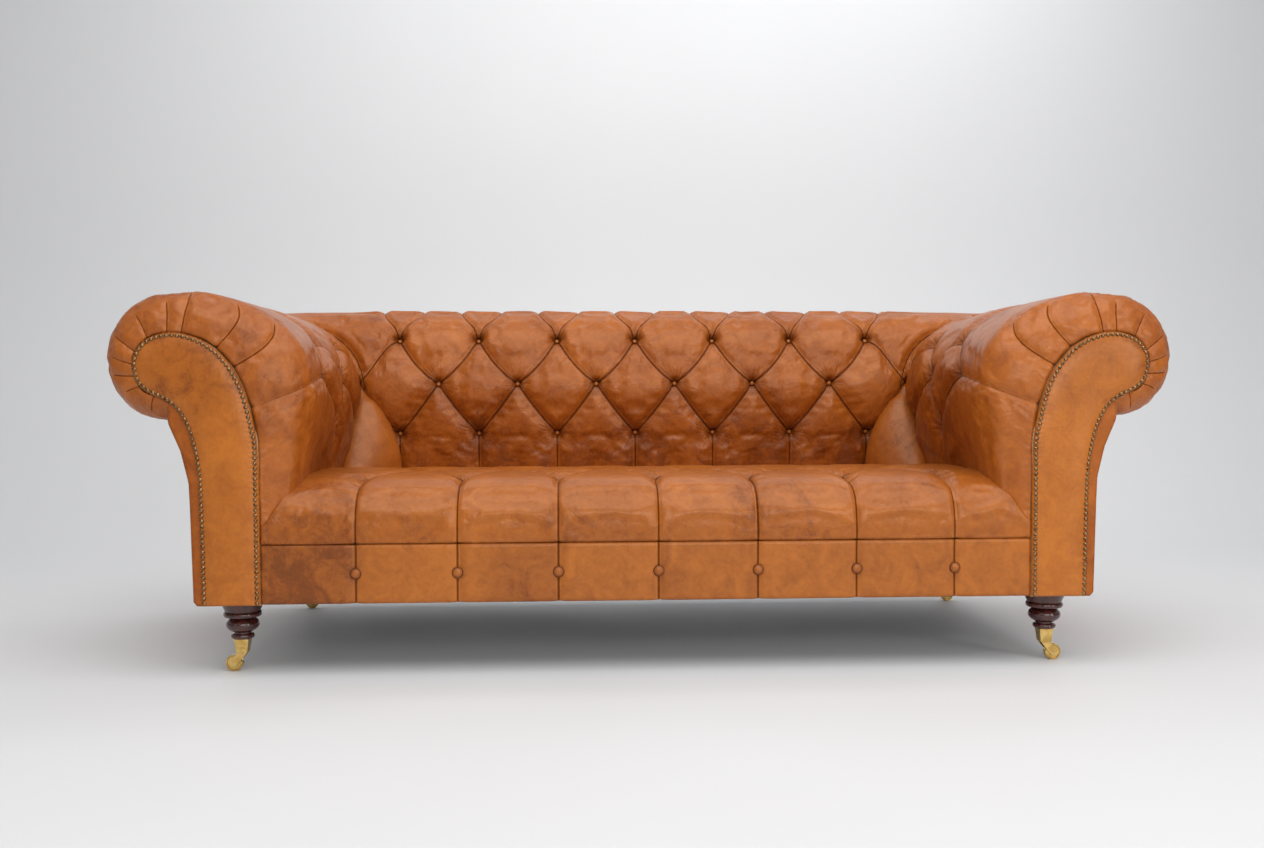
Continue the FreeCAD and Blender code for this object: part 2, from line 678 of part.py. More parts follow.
def seat_pad(envelope, sunk, rows):
    xs, pitch = pleat_places()
    tools = [dimple(*tuft) for row in rows for tuft in row]
    tools += joined(rows, pitch / 2 + seat_row_pitch() + 10)
    for x in xs:
        low = V(x - s.pleat_width / 2, -s.half_depth, 0)
        slit = Part.makeBox(s.pleat_width, s.seat_row_first, s.seat_crown, low)
        tools.append(slit.cut(sunk))
    return carved(envelope, tools)


def gusset(side, arm, back, seat):
    """The plain leather triangle across a rear inside corner."""
    top = V(side * (tuft_x - 10), rear_roll_y - 121, s.row_mid - 8)
    near = V(side * (tuft_x - 8), rear_roll_y - 250, s.seat_crown - 30)
    far = V(side * (tuft_x - 118), rear_roll_y - 100, s.seat_crown - 30)
    deep = V(side * (tuft_x + 60), rear_roll_y - 30, s.seat_crown - 30)
    faces = [(top, near, far), (top, far, deep), (top, deep, near), (near, deep, far)]
    shell = Part.Shell([Part.Face(Part.makePolygon(list(face) + [face[0]])) for face in faces])
    wedge = Part.Solid(shell)
    if wedge.Volume < 0:
        wedge.reverse()
    return largest(wedge.cut([arm, back, seat, dimple(*corner_tuft(side))]))


def rear_corner(side, back):
    """The roll round a rear corner: the arm's form up to its crest, then what both forms share."""
    arm = arm_envelope(side, s.half_depth)
    crest_x = roll_x if side > 0 else -roll_x
    arm_end = Part.makeBox(600, rear_roll_y - corner_y, 900, V(crest_x - 300, corner_y, 0))
    outer = Part.makeBox(400, 400, 900, V(crest_x if side > 0 else crest_x - 400, rear_roll_y, 0))
    return arm.common(arm_end).fuse(arm.common(back).common(outer))


def soft_forms():
    """The pads; gives the rows of tufts, so that the buttons find their places."""
    back_full, foot = back_envelope(s.half_width)
    back_grown, _ = back_envelope(s.half_width + 10, s.rest_gap)
    seat_full = seat_envelope(seat_half)
    seat_grown = seat_envelope(s.half_width, s.rest_gap)
    seat_sunk = seat_envelope(s.half_width, 0.0, s.pleat_depth)
    back_body = back_full.common(Part.makeBox(2 * roll_x, 900, 900, V(-roll_x, -200, 0)))
    rounded = [back_hollow(foot)]
    grown_arms = {}
    tufts = {}
    low_x = s.half_width - s.corner_radius
    under_roll = s.arm_roll_height - s.arm_roll_radius
    for name, side in SIDES:
        grown_arms[side] = arm_envelope(side, s.half_depth, s.rest_gap)
        back_body = back_body.fuse(rear_corner(side, back_full))
        square = Part.makeBox(300, 300, 900, V(low_x if side > 0 else -low_x - 300, corner_y, 0))
        post = Part.makeCylinder(s.corner_radius, 900, V(side * low_x, corner_y, 0))
        below = Part.makeBox(300, 900, under_roll, V(arm_rail_out if side > 0 else -arm_rail_out - 300, 0, 0))
        rounded += [square.cut(post), arm_hollow(side), below]
        pocket = scroll_plate(side, board_front - 10, s.board_thick + 10 + s.rest_gap,
                              s.nail_margin + s.rest_gap)
        form = arm_envelope(side, corner_y - s.rest_gap)
        tufts[name] = arm_tufts(side, form)
        body = largest(form.cut([pocket, arm_hollow(side), back_grown]))
        keep(feature(f"arm_form_{name}", arm_pad(side, body, tufts[name])), f"arm_pad_{name}")
    tufts["back"] = back_tufts(back_full)
    tufts["seat"] = seat_tufts(seat_full)
    keep(feature("back_form", back_pad(largest(back_body.cut(rounded)), tufts["back"])), "back_pad")
    seat_body = largest(seat_full.cut([grown_arms[-1], grown_arms[1]]))
    keep(feature("seat_form", seat_pad(seat_body, seat_sunk, tufts["seat"])), "seat_pad")
    for name, side in SIDES:
        keep(feature(f"gusset_{name}", gusset(side, grown_arms[side], back_grown, seat_grown)),
             f"corner_gusset_{name}")
    return tufts


def front_border():
    """The padded strip below the seat, with a pleat slit at each button."""
    xs, _ = pleat_places()
    front = -s.half_depth + s.border_set_back
    height = s.crease_height - s.rest_gap - s.body_bottom
    strip = Part.makeBox(2 * seat_half, s.border_thick, height, V(-seat_half, front, s.body_bottom))
    long_edges = [edge for edge in strip.Edges
                  if abs(edge.Length - 2 * seat_half) < 1 and edge.CenterOfMass.y < front + 1]
    strip = strip.makeFillet(7, long_edges)
    low = s.body_bottom - 1
    slits = [Part.makeBox(s.pleat_width, 4, height + 2, V(x - s.pleat_width / 2, front - 1, low)) for x in xs]
    keep(feature("border_form", strip.cut(slits)), "front_border")


def outside_panels():
    """Leather panels on the outsides of the arms and on the back."""
    keep(box("outside_back", (f"-{BASE_X}", BASE_X), (f"{REAR_PANEL_Y} - panel_thick", REAR_PANEL_Y),
             ("body_bottom", f"{BACK_FOOT} - rest_gap")), "outside_back_panel")
    for name, side in SIDES:
        heights = (s.body_bottom, 338, 389, 452, s.arm_roll_height - s.arm_roll_radius - s.rest_gap)
        shifts = (0, 5, 7, 22, 46)
        faces = []
        for inset in (0, s.panel_thick):
            points = [V(side * (base_x + shift - inset), board_front, z) for shift, z in zip(shifts, heights)]
            curve = Part.BSplineCurve()
            curve.interpolate(points)
            faces.append((curve.toShape(), points))
        (outer, outs), (inner, ins) = faces
        ends = [Part.LineSegment(outs[-1], ins[-1]).toShape(), Part.LineSegment(ins[0], outs[0]).toShape()]
        wire = Part.Wire(Part.__sortEdges__([outer, ends[0], inner, ends[1]]))
        length = rear_panel_y - s.panel_thick - s.rest_gap - board_front
        skin = Part.Face(wire).extrude(V(0, length, 0))
        back_line = [outs[-1], outs[-1] - V(side * 90, 0, 0), outs[0] - V(side * 30, 0, 0), outs[0]]
        edge = [outer] + lines(back_line)
        front = Part.Face(Part.Wire(Part.__sortEdges__(edge))).extrude(V(0, s.board_thick, 0))
        scroll = scroll_plate(side, board_front - 5, s.board_thick + 10, s.nail_margin + s.rest_gap)
        front = max(front.cut(scroll).Solids, key=lambda solid: solid.BoundBox.ZLength)
        keep(feature(f"outside_arm_{name}", skin.fuse(front).removeSplitter()), f"outside_arm_panel_{name}")


# Covered buttons

def button(name, place_at, way, radius, height):
    """The cap of a sphere, with its flat side on the button's seat."""
    dome = doc.addObject("Part::Sphere", name)
    sphere = f"(({radius})^2 + ({height})^2) / (2 * ({height}))"
    tie(dome, Radius=sphere, Angle1=f"asin(1 - ({height}) / ({sphere}))")
    doc.recompute([dome])
    sunk = dome.Radius.Value * math.sin(math.radians(dome.Angle1.Value))
    dome.Placement = FreeCAD.Placement(place_at - way * sunk, FreeCAD.Rotation(V(0, 0, 1), way))
    return dome


def buttons(tufts):
    lift = s.rest_gap
    corners = [corner_tuft(side) for side in (-1, 1)]
    sets = {
        "back_buttons": [tuft for row in tufts["back"] for tuft in row],
        "arm_buttons": [tuft for name, side in SIDES for row in tufts[name] for tuft in row] + corners,
        "seat_buttons": [tuft for row in tufts["seat"] for tuft in row],
    }
    for label, places in sets.items():
        domes = [button(f"{label}_{count}", place_at + way * lift, way, "button_radius", "button_height")
                 for count, (place_at, way) in enumerate(places)]
        keep(group(label + "_set", domes), label)
    xs, _ = pleat_places()
    front = -s.half_depth + s.border_set_back - lift
    z = s.crease_height - s.border_button_drop
    domes = [button(f"border_button_{count}", V(x, front, z), V(0, -1, 0), "border_button_radius",
                    "border_button_height") for count, x in enumerate(xs)]
    keep(group("border_button_set", domes), "border_buttons")


# Turned legs, bolts and castors

def torus(name, outside, thick, x, y, z):
    ring = doc.addObject("Part::Torus", name)
    tie(ring, Radius1=f"{outside} - {thick}", Radius2=thick)
    return place(ring, x, y, z)


def legs():
    bolts = []
    for name, side, end, x, y in leg_places():
        flange = doc.addObject("Part::Cone", f"flange_{name}")
        tie(flange, Radius1="leg_waist_radius", Radius2="leg_top_radius", Height="20")
        place(flange, x, y, "body_bottom - 20")
        bowl = doc.addObject("Part::Ellipsoid", f"bowl_{name}")
        tie(bowl, Radius1="18.5", Radius2="leg_bowl_radius")
        place(bowl, x, y, "body_bottom - 47")
        turned = fuse(
            f"turned_{name}", flange, bowl,
            cylinder(f"waist_{name}", "leg_bowl_radius - 1", "12", x, y, "body_bottom - 32"),
            torus(f"ring_{name}", "leg_ring_radius", "6", x, y, "body_bottom - 26"),
            cylinder(f"neck_{name}", "leg_neck_radius", "body_bottom - 30 - cup_top", x, y, "cup_top"),
            torus(f"foot_ring_{name}", "leg_foot_radius", "5.5", x, y, "cup_top + 6"))
        drop = "body_bottom - (bolt_length - block_height + 6)"
        hole = cylinder(f"leg_hole_{name}", "bolt_radius + bolt_gap", "bolt_length", x, y, f"{drop} - 1")
        keep(cut(f"bored_leg_{name}", turned, hole), f"leg_{name}")
        bolts.append(cylinder(f"bolt_{name}", "bolt_radius", "bolt_length", x, y, drop))
    keep(group("bolt_set", bolts), "leg_bolts")


def castor_cups():
    cups = []
    for name, side, end, x, y in leg_places():
        cup = doc.addObject("Part::Wedge", f"cup_block_{name}")
        tie(cup, Xmin="-cup_bottom_width / 2", Xmax="cup_bottom_width / 2",
            Zmin="-cup_bottom_width / 2", Zmax="cup_bottom_width / 2",
            X2min="-cup_top_width / 2", X2max="cup_top_width / 2",
            Z2min="-cup_top_width / 2", Z2max="cup_top_width / 2",
            Ymin="0", Ymax="cup_top - cup_bottom")
        cup.Placement = FreeCAD.Placement(V(0, 0, 0), FreeCAD.Rotation(V(1, 0, 0), 90))
        place(cup, x, y, "cup_bottom")
        bore = cylinder(f"cup_bore_{name}", "pintle_radius + running_gap", "pintle_length + 1",
                        x, y, "cup_bottom - 0.5")
        cups.append(cut(f"cup_{name}", cup, bore))
    keep(group("cup_set", cups), "castor_cups")


def origin_plane(body, role):
    return next(plane for plane in body.Origin.OriginFeatures if plane.Role == role)


def sketch_on(body, name, role):
    sketch = body.newObject("Sketcher::SketchObject", name)
    sketch.AttachmentSupport = (origin_plane(body, role), [""])
    sketch.MapMode = "FlatFace"
    return sketch


def outline_sketch(body, name, role, corners):
    """A closed outline whose corners are each tied to two lengths."""
    sketch = sketch_on(body, name, role)
    count = len(corners)
    angles = [2 * math.pi * step / count for step in range(count)]
    rough = [V(10 * math.cos(angle) + 40, 10 * math.sin(angle) + 40, 0) for angle in angles]
    for step in range(count):
        sketch.addGeometry(Part.LineSegment(rough[step], rough[(step + 1) % count]), False)
    for step in range(count):
        sketch.addConstraint(Sketcher.Constraint("Coincident", step, 2, (step + 1) % count, 1))
    for step, lengths in enumerate(corners):
        for kind, start, text in zip(("DistanceX", "DistanceY"), (rough[step].x, rough[step].y), lengths):
            index = sketch.addConstraint(Sketcher.Constraint(kind, -1, 1, step, 1, start))
            sketch.setExpression(f"Constraints[{index}]", formula(text))
    return sketch


def circle_sketch(body, name, role, x, y, radius):
    sketch = sketch_on(body, name, role)
    sketch.addGeometry(Part.Circle(V(5, 5, 0), V(0, 0, 1), 3), False)
    for kind, start, text in (("DistanceX", 5, x), ("DistanceY", 5, y)):
        index = sketch.addConstraint(Sketcher.Constraint(kind, -1, 1, 0, 3, start))
        sketch.setExpression(f"Constraints[{index}]", formula(text))
    index = sketch.addConstraint(Sketcher.Constraint("Radius", 0, 3))
    sketch.setExpression(f"Constraints[{index}]", formula(radius))
    return sketch


def wheel(name):
    """A turned brass wheel about its own axle, with a crowned tread."""
    body = doc.addObject("PartDesign::Body", f"wheel_{name}")
    rim, edge = "wheel_radius", "wheel_radius - 1.2"
    half, hub = "wheel_width / 2", "axle_radius + running_gap"
    profile = outline_sketch(body, f"wheel_profile_{name}", "XZ_Plane", [
        (hub, f"-{half}"), ("wheel_radius * 0.42", f"-{half}"), ("wheel_radius * 0.5", f"1.6 - {half}"),
        ("wheel_radius * 0.78", f"1.6 - {half}"), ("wheel_radius * 0.84", f"-{half}"), (edge, f"-{half}"),
        (rim, f"1.8 - {half}"), (rim, f"{half} - 1.8"), (edge, half), ("wheel_radius * 0.84", half),
        ("wheel_radius * 0.78", f"{half} - 1.6"), ("wheel_radius * 0.5", f"{half} - 1.6"),
        ("wheel_radius * 0.42", half), (hub, half)])
    turned = body.newObject("PartDesign::Revolution", f"wheel_turned_{name}")
    turned.Profile = profile
    turned.ReferenceAxis = (profile, ["V_Axis"])
    turned.Angle = 360
    return body


def fork(name):
    """A castor's fork: a plate and two raking cheeks below a pintle."""
    body = doc.addObject("PartDesign::Body", f"fork_{name}")
    top = "cup_bottom - castor_gap"
    under = f"{top} - fork_plate_thick"
    sketch = outline_sketch(body, f"fork_side_{name}", "XZ_Plane", [
        ("-fork_plate_radius + 1", top), ("fork_plate_radius", top), ("trail + 7", "wheel_radius + 6"),
        ("trail + 7.5", "wheel_radius - 3"), ("trail + 3", "wheel_radius - 7"),
        ("trail - 4", "wheel_radius - 7"),
        ("-fork_plate_radius + 1", under)])
    side = body.newObject("PartDesign::Pad", f"fork_block_{name}")
    side.Profile = sketch
    side.Midplane = True
    tie(side, Length="wheel_width + 2 * cheek_gap + 2 * cheek_thick")
    slot_sketch = outline_sketch(body, f"fork_slot_outline_{name}", "XZ_Plane", [
        ("-2 * trail", under), ("3 * trail", under), ("3 * trail", "-5"), ("-2 * trail", "-5")])
    slot = body.newObject("PartDesign::Pocket", f"fork_slot_{name}")
    slot.Profile = slot_sketch
    slot.Midplane = True
    tie(slot, Length="wheel_width + 2 * cheek_gap")
    bore_sketch = circle_sketch(body, f"fork_bore_outline_{name}", "XZ_Plane", "trail", "wheel_radius",
                                "axle_radius + 0.1")
    bore = body.newObject("PartDesign::Pocket", f"fork_bore_{name}")
    bore.Profile = bore_sketch
    bore.Midplane = True
    tie(bore, Length="4 * wheel_width")
    pin_sketch = circle_sketch(body, f"pintle_outline_{name}", "XY_Plane", "0", "0", "pintle_radius")
    tie(pin_sketch, AttachmentOffset__Base__z=under)
    pin = body.newObject("PartDesign::Pad", f"pintle_{name}")
    pin.Profile = pin_sketch
    tie(pin, Length="pintle_length - 1 + castor_gap + fork_plate_thick")
    return body


def castors():
    for name, side, end, x, y in leg_places():
        turn = FreeCAD.Rotation(V(0, 0, 1), 0 if side > 0 else 180)
        body = fork(name)
        body.Placement = FreeCAD.Placement(V(0, 0, 0), turn)
        keep(place(body, x, y), f"castor_fork_{name}")
        axle_x = f"{x} + trail" if side > 0 else f"{x} - trail"
        roller = wheel(name)
        roller.Placement = FreeCAD.Placement(V(0, 0, 0), FreeCAD.Rotation(V(1, 0, 0), 90))
        keep(place(roller, axle_x, y, "wheel_radius"), f"castor_wheel_{name}")
        length = "wheel_width + 2 * cheek_gap + 2 * cheek_thick + 2"
        pin = cylinder(f"axle_{name}", "axle_radius", length)
        pin.Placement = FreeCAD.Placement(V(0, 0, 0), FreeCAD.Rotation(V(1, 0, 0), 90))
        keep(place(pin, axle_x, f"{y} + ({length}) / 2", "wheel_radius"), f"castor_axle_{name}")


timber()
leg_blocks()
springs()
webbing()
sheets()
facings()
tufts = soft_forms()
front_border()
outside_panels()
buttons(tufts)
legs()
castor_cups()
castors()
doc.recompute()

for thing in doc.Objects:
    if any(word in ("Invalid", "Error") for word in thing.State):
        raise RuntimeError(f"{thing.Name} failed: {thing.State}")
for piece in pieces:
    if piece.Shape.isNull() or not piece.Shape.isValid():
        raise RuntimeError(f"{piece.Label} has no valid shape")

os.makedirs("parts", exist_ok=True)
for piece in pieces:
    piece.Shape.exportStep(f"parts/{piece.Label}.step")
print(len(pieces), "sub-parts,", sum(len(piece.Shape.Solids) for piece in pieces), "solids")
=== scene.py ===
# %% [markdown]
# A chesterfield sofa in tan hide.
# The timber, springs, legs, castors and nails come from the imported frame. This script makes
# everything in leather: the buttoned back, arms and seat, the pleated border, the scroll
# facings, the outside panels and the covered buttons. Metres; X runs along the seat, minus Y
# is the front, Z is up.

# %% Load the frame
import json
import math
import bmesh
import bpy
import numpy as np
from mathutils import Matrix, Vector

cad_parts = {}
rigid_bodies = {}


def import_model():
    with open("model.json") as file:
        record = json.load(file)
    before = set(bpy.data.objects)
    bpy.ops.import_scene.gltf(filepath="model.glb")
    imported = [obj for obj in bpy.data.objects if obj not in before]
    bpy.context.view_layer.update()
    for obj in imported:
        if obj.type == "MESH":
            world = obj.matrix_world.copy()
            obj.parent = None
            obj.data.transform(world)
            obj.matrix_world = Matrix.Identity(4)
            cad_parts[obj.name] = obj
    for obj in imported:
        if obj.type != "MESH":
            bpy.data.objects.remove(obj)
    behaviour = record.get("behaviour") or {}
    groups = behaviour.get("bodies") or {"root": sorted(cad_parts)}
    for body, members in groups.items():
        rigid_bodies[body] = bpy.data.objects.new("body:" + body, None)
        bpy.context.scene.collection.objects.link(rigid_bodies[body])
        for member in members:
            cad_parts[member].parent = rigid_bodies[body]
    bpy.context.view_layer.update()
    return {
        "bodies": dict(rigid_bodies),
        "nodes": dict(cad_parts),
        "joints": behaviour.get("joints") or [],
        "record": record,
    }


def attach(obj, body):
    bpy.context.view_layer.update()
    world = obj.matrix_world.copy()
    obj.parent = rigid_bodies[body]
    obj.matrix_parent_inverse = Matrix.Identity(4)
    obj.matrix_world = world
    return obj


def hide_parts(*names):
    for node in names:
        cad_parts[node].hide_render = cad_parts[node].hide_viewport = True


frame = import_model()
nodes = frame["nodes"]
SIDES = {"left": -1, "right": 1}

# %% [markdown]
# Every pad is upholstered over one long section, like a loaf: the back's section runs along X
# and each arm's along Y. A few points and a smooth spline through them describe each section.
# A natural cubic spline is used, because it passes through the points as a bent batten does.

# %% Smooth lines through a few points
def spline(points, stations, wanted):
    """Points of a natural cubic spline at the wanted stations."""
    points = np.array(points, float)
    steps = np.diff(stations)
    count = len(points)
    matrix, load = np.eye(count), np.zeros_like(points)
    for i in range(1, count - 1):
        matrix[i, i - 1:i + 2] = steps[i - 1], 2 * (steps[i - 1] + steps[i]), steps[i]
        load[i] = 6 * ((points[i + 1] - points[i]) / steps[i] - (points[i] - points[i - 1]) / steps[i - 1])
    bend = np.linalg.solve(matrix, load)
    k = np.clip(np.searchsorted(stations, wanted) - 1, 0, count - 2)
    a = ((stations[k + 1] - wanted) / steps[k])[:, None]
    b = ((wanted - stations[k]) / steps[k])[:, None]
    return (a * points[k] + b * points[k + 1]
            + ((a ** 3 - a) * bend[k] + (b ** 3 - b) * bend[k + 1]) * (steps[k] ** 2)[:, None] / 6)


def arc_length(points):
    """The length along a row of points at each of them."""
    return np.r_[0, np.cumsum(np.linalg.norm(np.diff(np.array(points, float), axis=0), axis=1))]


def smooth_step(x):
    """From 0 to 1 with a soft start and end."""
    x = np.clip(x, 0, 1)
    return x * x * (3 - 2 * x)


# %% [markdown]
# The sections. The arm has two: one at the facing's edge and one at full size behind it, and
# the leather swells from the first to the second over a quarter turn. They share their
# stations, so that a point on one belongs to a point on the other.

# %% Sizes of the body and its sections
CREASE_Z = 0.2655
ARM_X, ARM_Z, ARM_R = 0.962, 0.640, 0.131
BACK_Y, BACK_Z, BACK_R = 0.305, 0.642, 0.140
BACK_FOOT_Y = 0.382
CORNER_X, CORNER_Y = 0.832, 0.184
FRONT_Y, ROUNDING = -0.436, 0.066
ARM_FULL = [(-.240, CREASE_Z - ARM_Z), (-.248, -.240), (-.271, -.130), (-.275, -.050), (-.252, .022),
            (-.176, .090), (-.074, .127), (.012, .1305), (.103, .081), (.131, 0), (.098, -.087),
            (.038, -.1254), (0, -.131), (-.020, -.130)]
ARM_FRONT = [(-.182, CREASE_Z - ARM_Z), (-.182, -.229), (-.176, -.145), (-.162, -.086), (-.137, -.028),
             (-.099, .018), (-.050, .043), (.007, .047), (.051, .023), (.065, -.015), (.048, -.064),
             (.020, -.078), (-.004, -.088), (-.019, -.101)]
BACK_FRONT = [(-.079, CREASE_Z - BACK_Z), (-.091, -.272), (-.107, -.183), (-.123, -.102), (-.127, -.042),
              (-.115, .023), (-.083, .093), (0, .140)]
SEAT_FRONT = [(.002, 0), (0, .022), (.003, .048), (.018, .086), (.054, .112)]
SEAT_TOP = [(.17, -.0045), (.31, 0), (.47, 0), (.65, -.0045), (.87, -.0155), (1, -.0255)]
SEAT_Y, SEAT_REAR, SEAT_Z, SEAT_HALF = -0.437, 0.222, 0.395, 0.7804
ARM_FULLER = 0.053

FINE, ROLL_FINE, INNER_TO = 1500, 500, 900
arm_stations = arc_length(ARM_FULL)
arm_t = np.linspace(0, arm_stations[-1], FINE)
arm_full = spline(ARM_FULL, arm_stations, arm_t)
arm_s = arc_length(arm_full)
back_stations = arc_length(BACK_FRONT)
back_front = spline(BACK_FRONT, back_stations, np.linspace(0, back_stations[-1], FINE))
foot_angle = -math.acos((BACK_FOOT_Y - BACK_Y) / BACK_R)
roll_angles = np.linspace(math.pi / 2, foot_angle, ROLL_FINE)[1:]
back_line = np.vstack([back_front, BACK_R * np.c_[np.cos(roll_angles), np.sin(roll_angles)]])
back_s = arc_length(back_line)
BACK_CREST = back_s[FINE - 1]
seat_points = SEAT_FRONT + [(share * (SEAT_REAR - SEAT_Y), SEAT_Z - CREASE_Z + dz) for share, dz in SEAT_TOP]
seat_stations = arc_length(seat_points)
seat_line = spline(seat_points, seat_stations, np.linspace(0, seat_stations[-1], FINE))
seat_s = arc_length(seat_line)
print("section lengths: back %.3f, arm %.3f, seat %.3f" % (back_s[-1], arm_s[-1], seat_s[-1]))

# %% [markdown]
# A point of a pad is named by two lengths on the flat hide: a along the pad and b along its
# section, both in metres, as an upholsterer marks out a hide before it is pulled down. These
# functions say where such a point lies on the stuffed, unbuttoned pad.

# %% Where the hide lies before it is buttoned
ARM_CREST = int(np.argmax(arm_full[:, 1]))
SQUEEZE_FROM = 0.625
CORNER_ARC = 0.200
TUCK_BEHIND = 0.03
ARM_MEETS_Z, ARM_TOP_Z, BACK_TOP_Z = 0.75, 0.765, 0.762


def arm_inner_x(z):
    """The arm's inner face, measured from the middle of the sofa, at a height."""
    return ARM_X + np.interp(z - ARM_Z, arm_full[:ARM_CREST, 1], arm_full[:ARM_CREST, 0])


def squeezed(a, limit, end):
    """X of a hide length a, drawn in near the arms so that the hide ends at the limit."""
    size = np.abs(a)
    outer = SQUEEZE_FROM + (size - SQUEEZE_FROM) * (limit - SQUEEZE_FROM) / (end - SQUEEZE_FROM)
    return np.sign(a) * np.where(size < SQUEEZE_FROM, size, outer)


def back_limit(b):
    """How far out the back's hide reaches at b: just behind the arm, or to the corner above it."""
    z = BACK_Z + np.interp(b, back_s, back_line[:, 1])
    behind_arm = np.minimum(arm_inner_x(np.minimum(z, ARM_MEETS_Z)) + TUCK_BEHIND, CORNER_X)
    return np.where(b < BACK_JOIN, behind_arm, CORNER_X)


def join_length():
    """The length along the back's section at which it rises above the arm."""
    heights = back_front[:, 1] + BACK_Z
    meets = arm_inner_x(np.minimum(heights, ARM_TOP_Z)) >= CORNER_X
    return float(back_s[int(np.argmax(meets))])


BACK_JOIN = join_length()


def back_surface(a, b):
    """The back: straight between the corners, then turned about each corner into the arm's section."""
    y = np.interp(b, back_s, back_line[:, 0])
    z = np.interp(b, back_s, back_line[:, 1])
    x = squeezed(np.clip(a, -CORNER_X, CORNER_X), back_limit(b), CORNER_X)
    turn = np.clip((np.abs(a) - CORNER_X) / CORNER_ARC, 0, math.pi / 2)
    blend = smooth_step(turn / (math.pi / 2))
    rho = y + BACK_Y - CORNER_Y
    height = z + BACK_Z
    angle = np.arctan2(z, y)
    share = (math.pi / 2 - angle) / (math.pi / 2 - foot_angle)
    arm_angle = math.pi / 2 - share * math.pi
    arm_crest = ARM_X - CORNER_X
    inner = b < BACK_CREST
    inner_rho = np.maximum(rho, 0.02) * arm_crest / (BACK_Y - CORNER_Y)
    inner_z = ARM_Z + np.interp(inner_rho - arm_crest, arm_full[:INNER_TO, 0], arm_full[:INNER_TO, 1])
    arm_rho = np.where(inner, inner_rho, arm_crest + ARM_R * np.cos(arm_angle))
    arm_z = np.where(inner, inner_z, ARM_Z + ARM_R * np.sin(arm_angle))
    rho = rho + blend * (arm_rho - rho)
    height = height + blend * (arm_z - height)
    x = np.where(turn > 0, np.sign(a) * (CORNER_X + rho * np.sin(turn)), x)
    return np.stack([x, CORNER_Y + rho * np.cos(turn), height], axis=-1)


FRONT_ARC = 0.125


def arm_rear(b):
    """How far back an arm's hide runs: just into the back's face, and round the corner on top."""
    z = ARM_Z + np.interp(b, arm_s, arm_full[:, 1])
    dx = np.interp(b, arm_s, arm_full[:, 0])
    face_y = BACK_Y + np.interp(np.minimum(z, BACK_TOP_Z) - BACK_Z, back_front[:, 1], back_front[:, 0])
    near_crest = smooth_step((b - (arm_s[ARM_CREST] - 0.16)) / 0.12)
    inner = face_y + TUCK_BEHIND
    return np.where(dx > 0, CORNER_Y, inner + (CORNER_Y - inner) * near_crest)


def arm_surface(side):
    """The place of a hide point on one arm, swelling from the facing's section to the full one."""
    def place(a, b):
        t = np.interp(b, arm_s, arm_t)
        front = spline(ARM_FRONT, arm_stations, t)
        full = spline(ARM_FULL, arm_stations, t)
        theta = np.clip(a / FRONT_ARC, 0, 1) * math.pi / 2
        swell = np.sin(theta)[:, None]
        section = front + swell * (full - front)
        straight = np.clip((a - FRONT_ARC) / (ARM_END - FRONT_ARC), 0, 1)
        y = FRONT_Y + ROUNDING * (1 - np.cos(theta)) + straight * (arm_rear(b) - FRONT_Y - ROUNDING)
        return np.stack([side * (ARM_X + section[:, 0]), y, ARM_Z + section[:, 1]], axis=-1)
    return place


ARM_END = FRONT_ARC + CORNER_Y - FRONT_Y - ROUNDING


def arm_length_at(y, b):
    """The hide length a of a place y on an arm."""
    rear = float(arm_rear(np.array([b]))[0])
    return FRONT_ARC + (y - FRONT_Y - ROUNDING) * (ARM_END - FRONT_ARC) / (rear - FRONT_Y - ROUNDING)


def seat_surface(a, b):
    """The seat pad: narrower behind its front edge, where the arms are full."""
    y = SEAT_Y + np.interp(b, seat_s, seat_line[:, 0])
    z = CREASE_Z + np.interp(b, seat_s, seat_line[:, 1])
    depth = np.clip((y - FRONT_Y) / ROUNDING, 0, 1)
    swell = np.sqrt(1 - (1 - depth) ** 2)
    limit = SEAT_HALF - swell * ARM_FULLER
    return np.stack([squeezed(a, limit, SEAT_HALF), y, z], axis=-1)


# %% [markdown]
# Deep buttoning pulls the hide down to each button, and the hide folds along the straight way
# from one button to the next. A fold is a short line on the flat hide with a depth that is
# greatest at its buttons.

# %% Folds on the flat hide
def smooth_line(points, bow):
    """A line through a few points, or a bowed line between two."""
    points = np.array(points, float)
    if len(points) > 2:
        stations = arc_length(points)
        return spline(points, stations, np.linspace(0, stations[-1], 8 * len(points)))
    across = np.array([-(points[1] - points[0])[1], (points[1] - points[0])[0]])
    middle = points.mean(0) + across / np.linalg.norm(across) * bow * 2
    t = np.linspace(0, 1, 11)[:, None]
    return (1 - t) ** 2 * points[0] + 2 * t * (1 - t) * middle + t ** 2 * points[1]


def fold(points, deep=0.013, ends=(0.024, 0.024), pull=0.026, bow=0.0, fade=(0, 0)):
    """A fold's places at each millimetre, and how deep the hide lies at each."""
    points = smooth_line(points, bow)
    length = arc_length(points)
    step = np.linspace(0, length[-1], max(int(length[-1] / 0.001), 2))
    line = np.c_[np.interp(step, length, points[:, 0]), np.interp(step, length, points[:, 1])]
    left = length[-1] - step
    depth = deep + (ends[0] - deep) * np.exp(-step / pull) + (ends[1] - deep) * np.exp(-left / pull)
    for gone, distance in ((fade[0], step), (fade[1], left)):
        if gone:
            depth = depth * smooth_step(distance / gone)
    return line, depth


# %% [markdown]
# The hide is laid out as a fine grid, and the vertices nearest to each fold are moved onto it,
# so that a fold is an unbroken line of edges instead of a saw edge. Between the folds the hide
# rises back to the crown of the stuffing. A membrane over foam does just that, so its depth is
# found by relaxing it: each point takes the mean of its neighbours, a little nearer the crown.

# %% A hide
BUTTON_SEAT = 0.0085
FAR = 0.06
FADED = 0.0035
WINDOW = 0.03


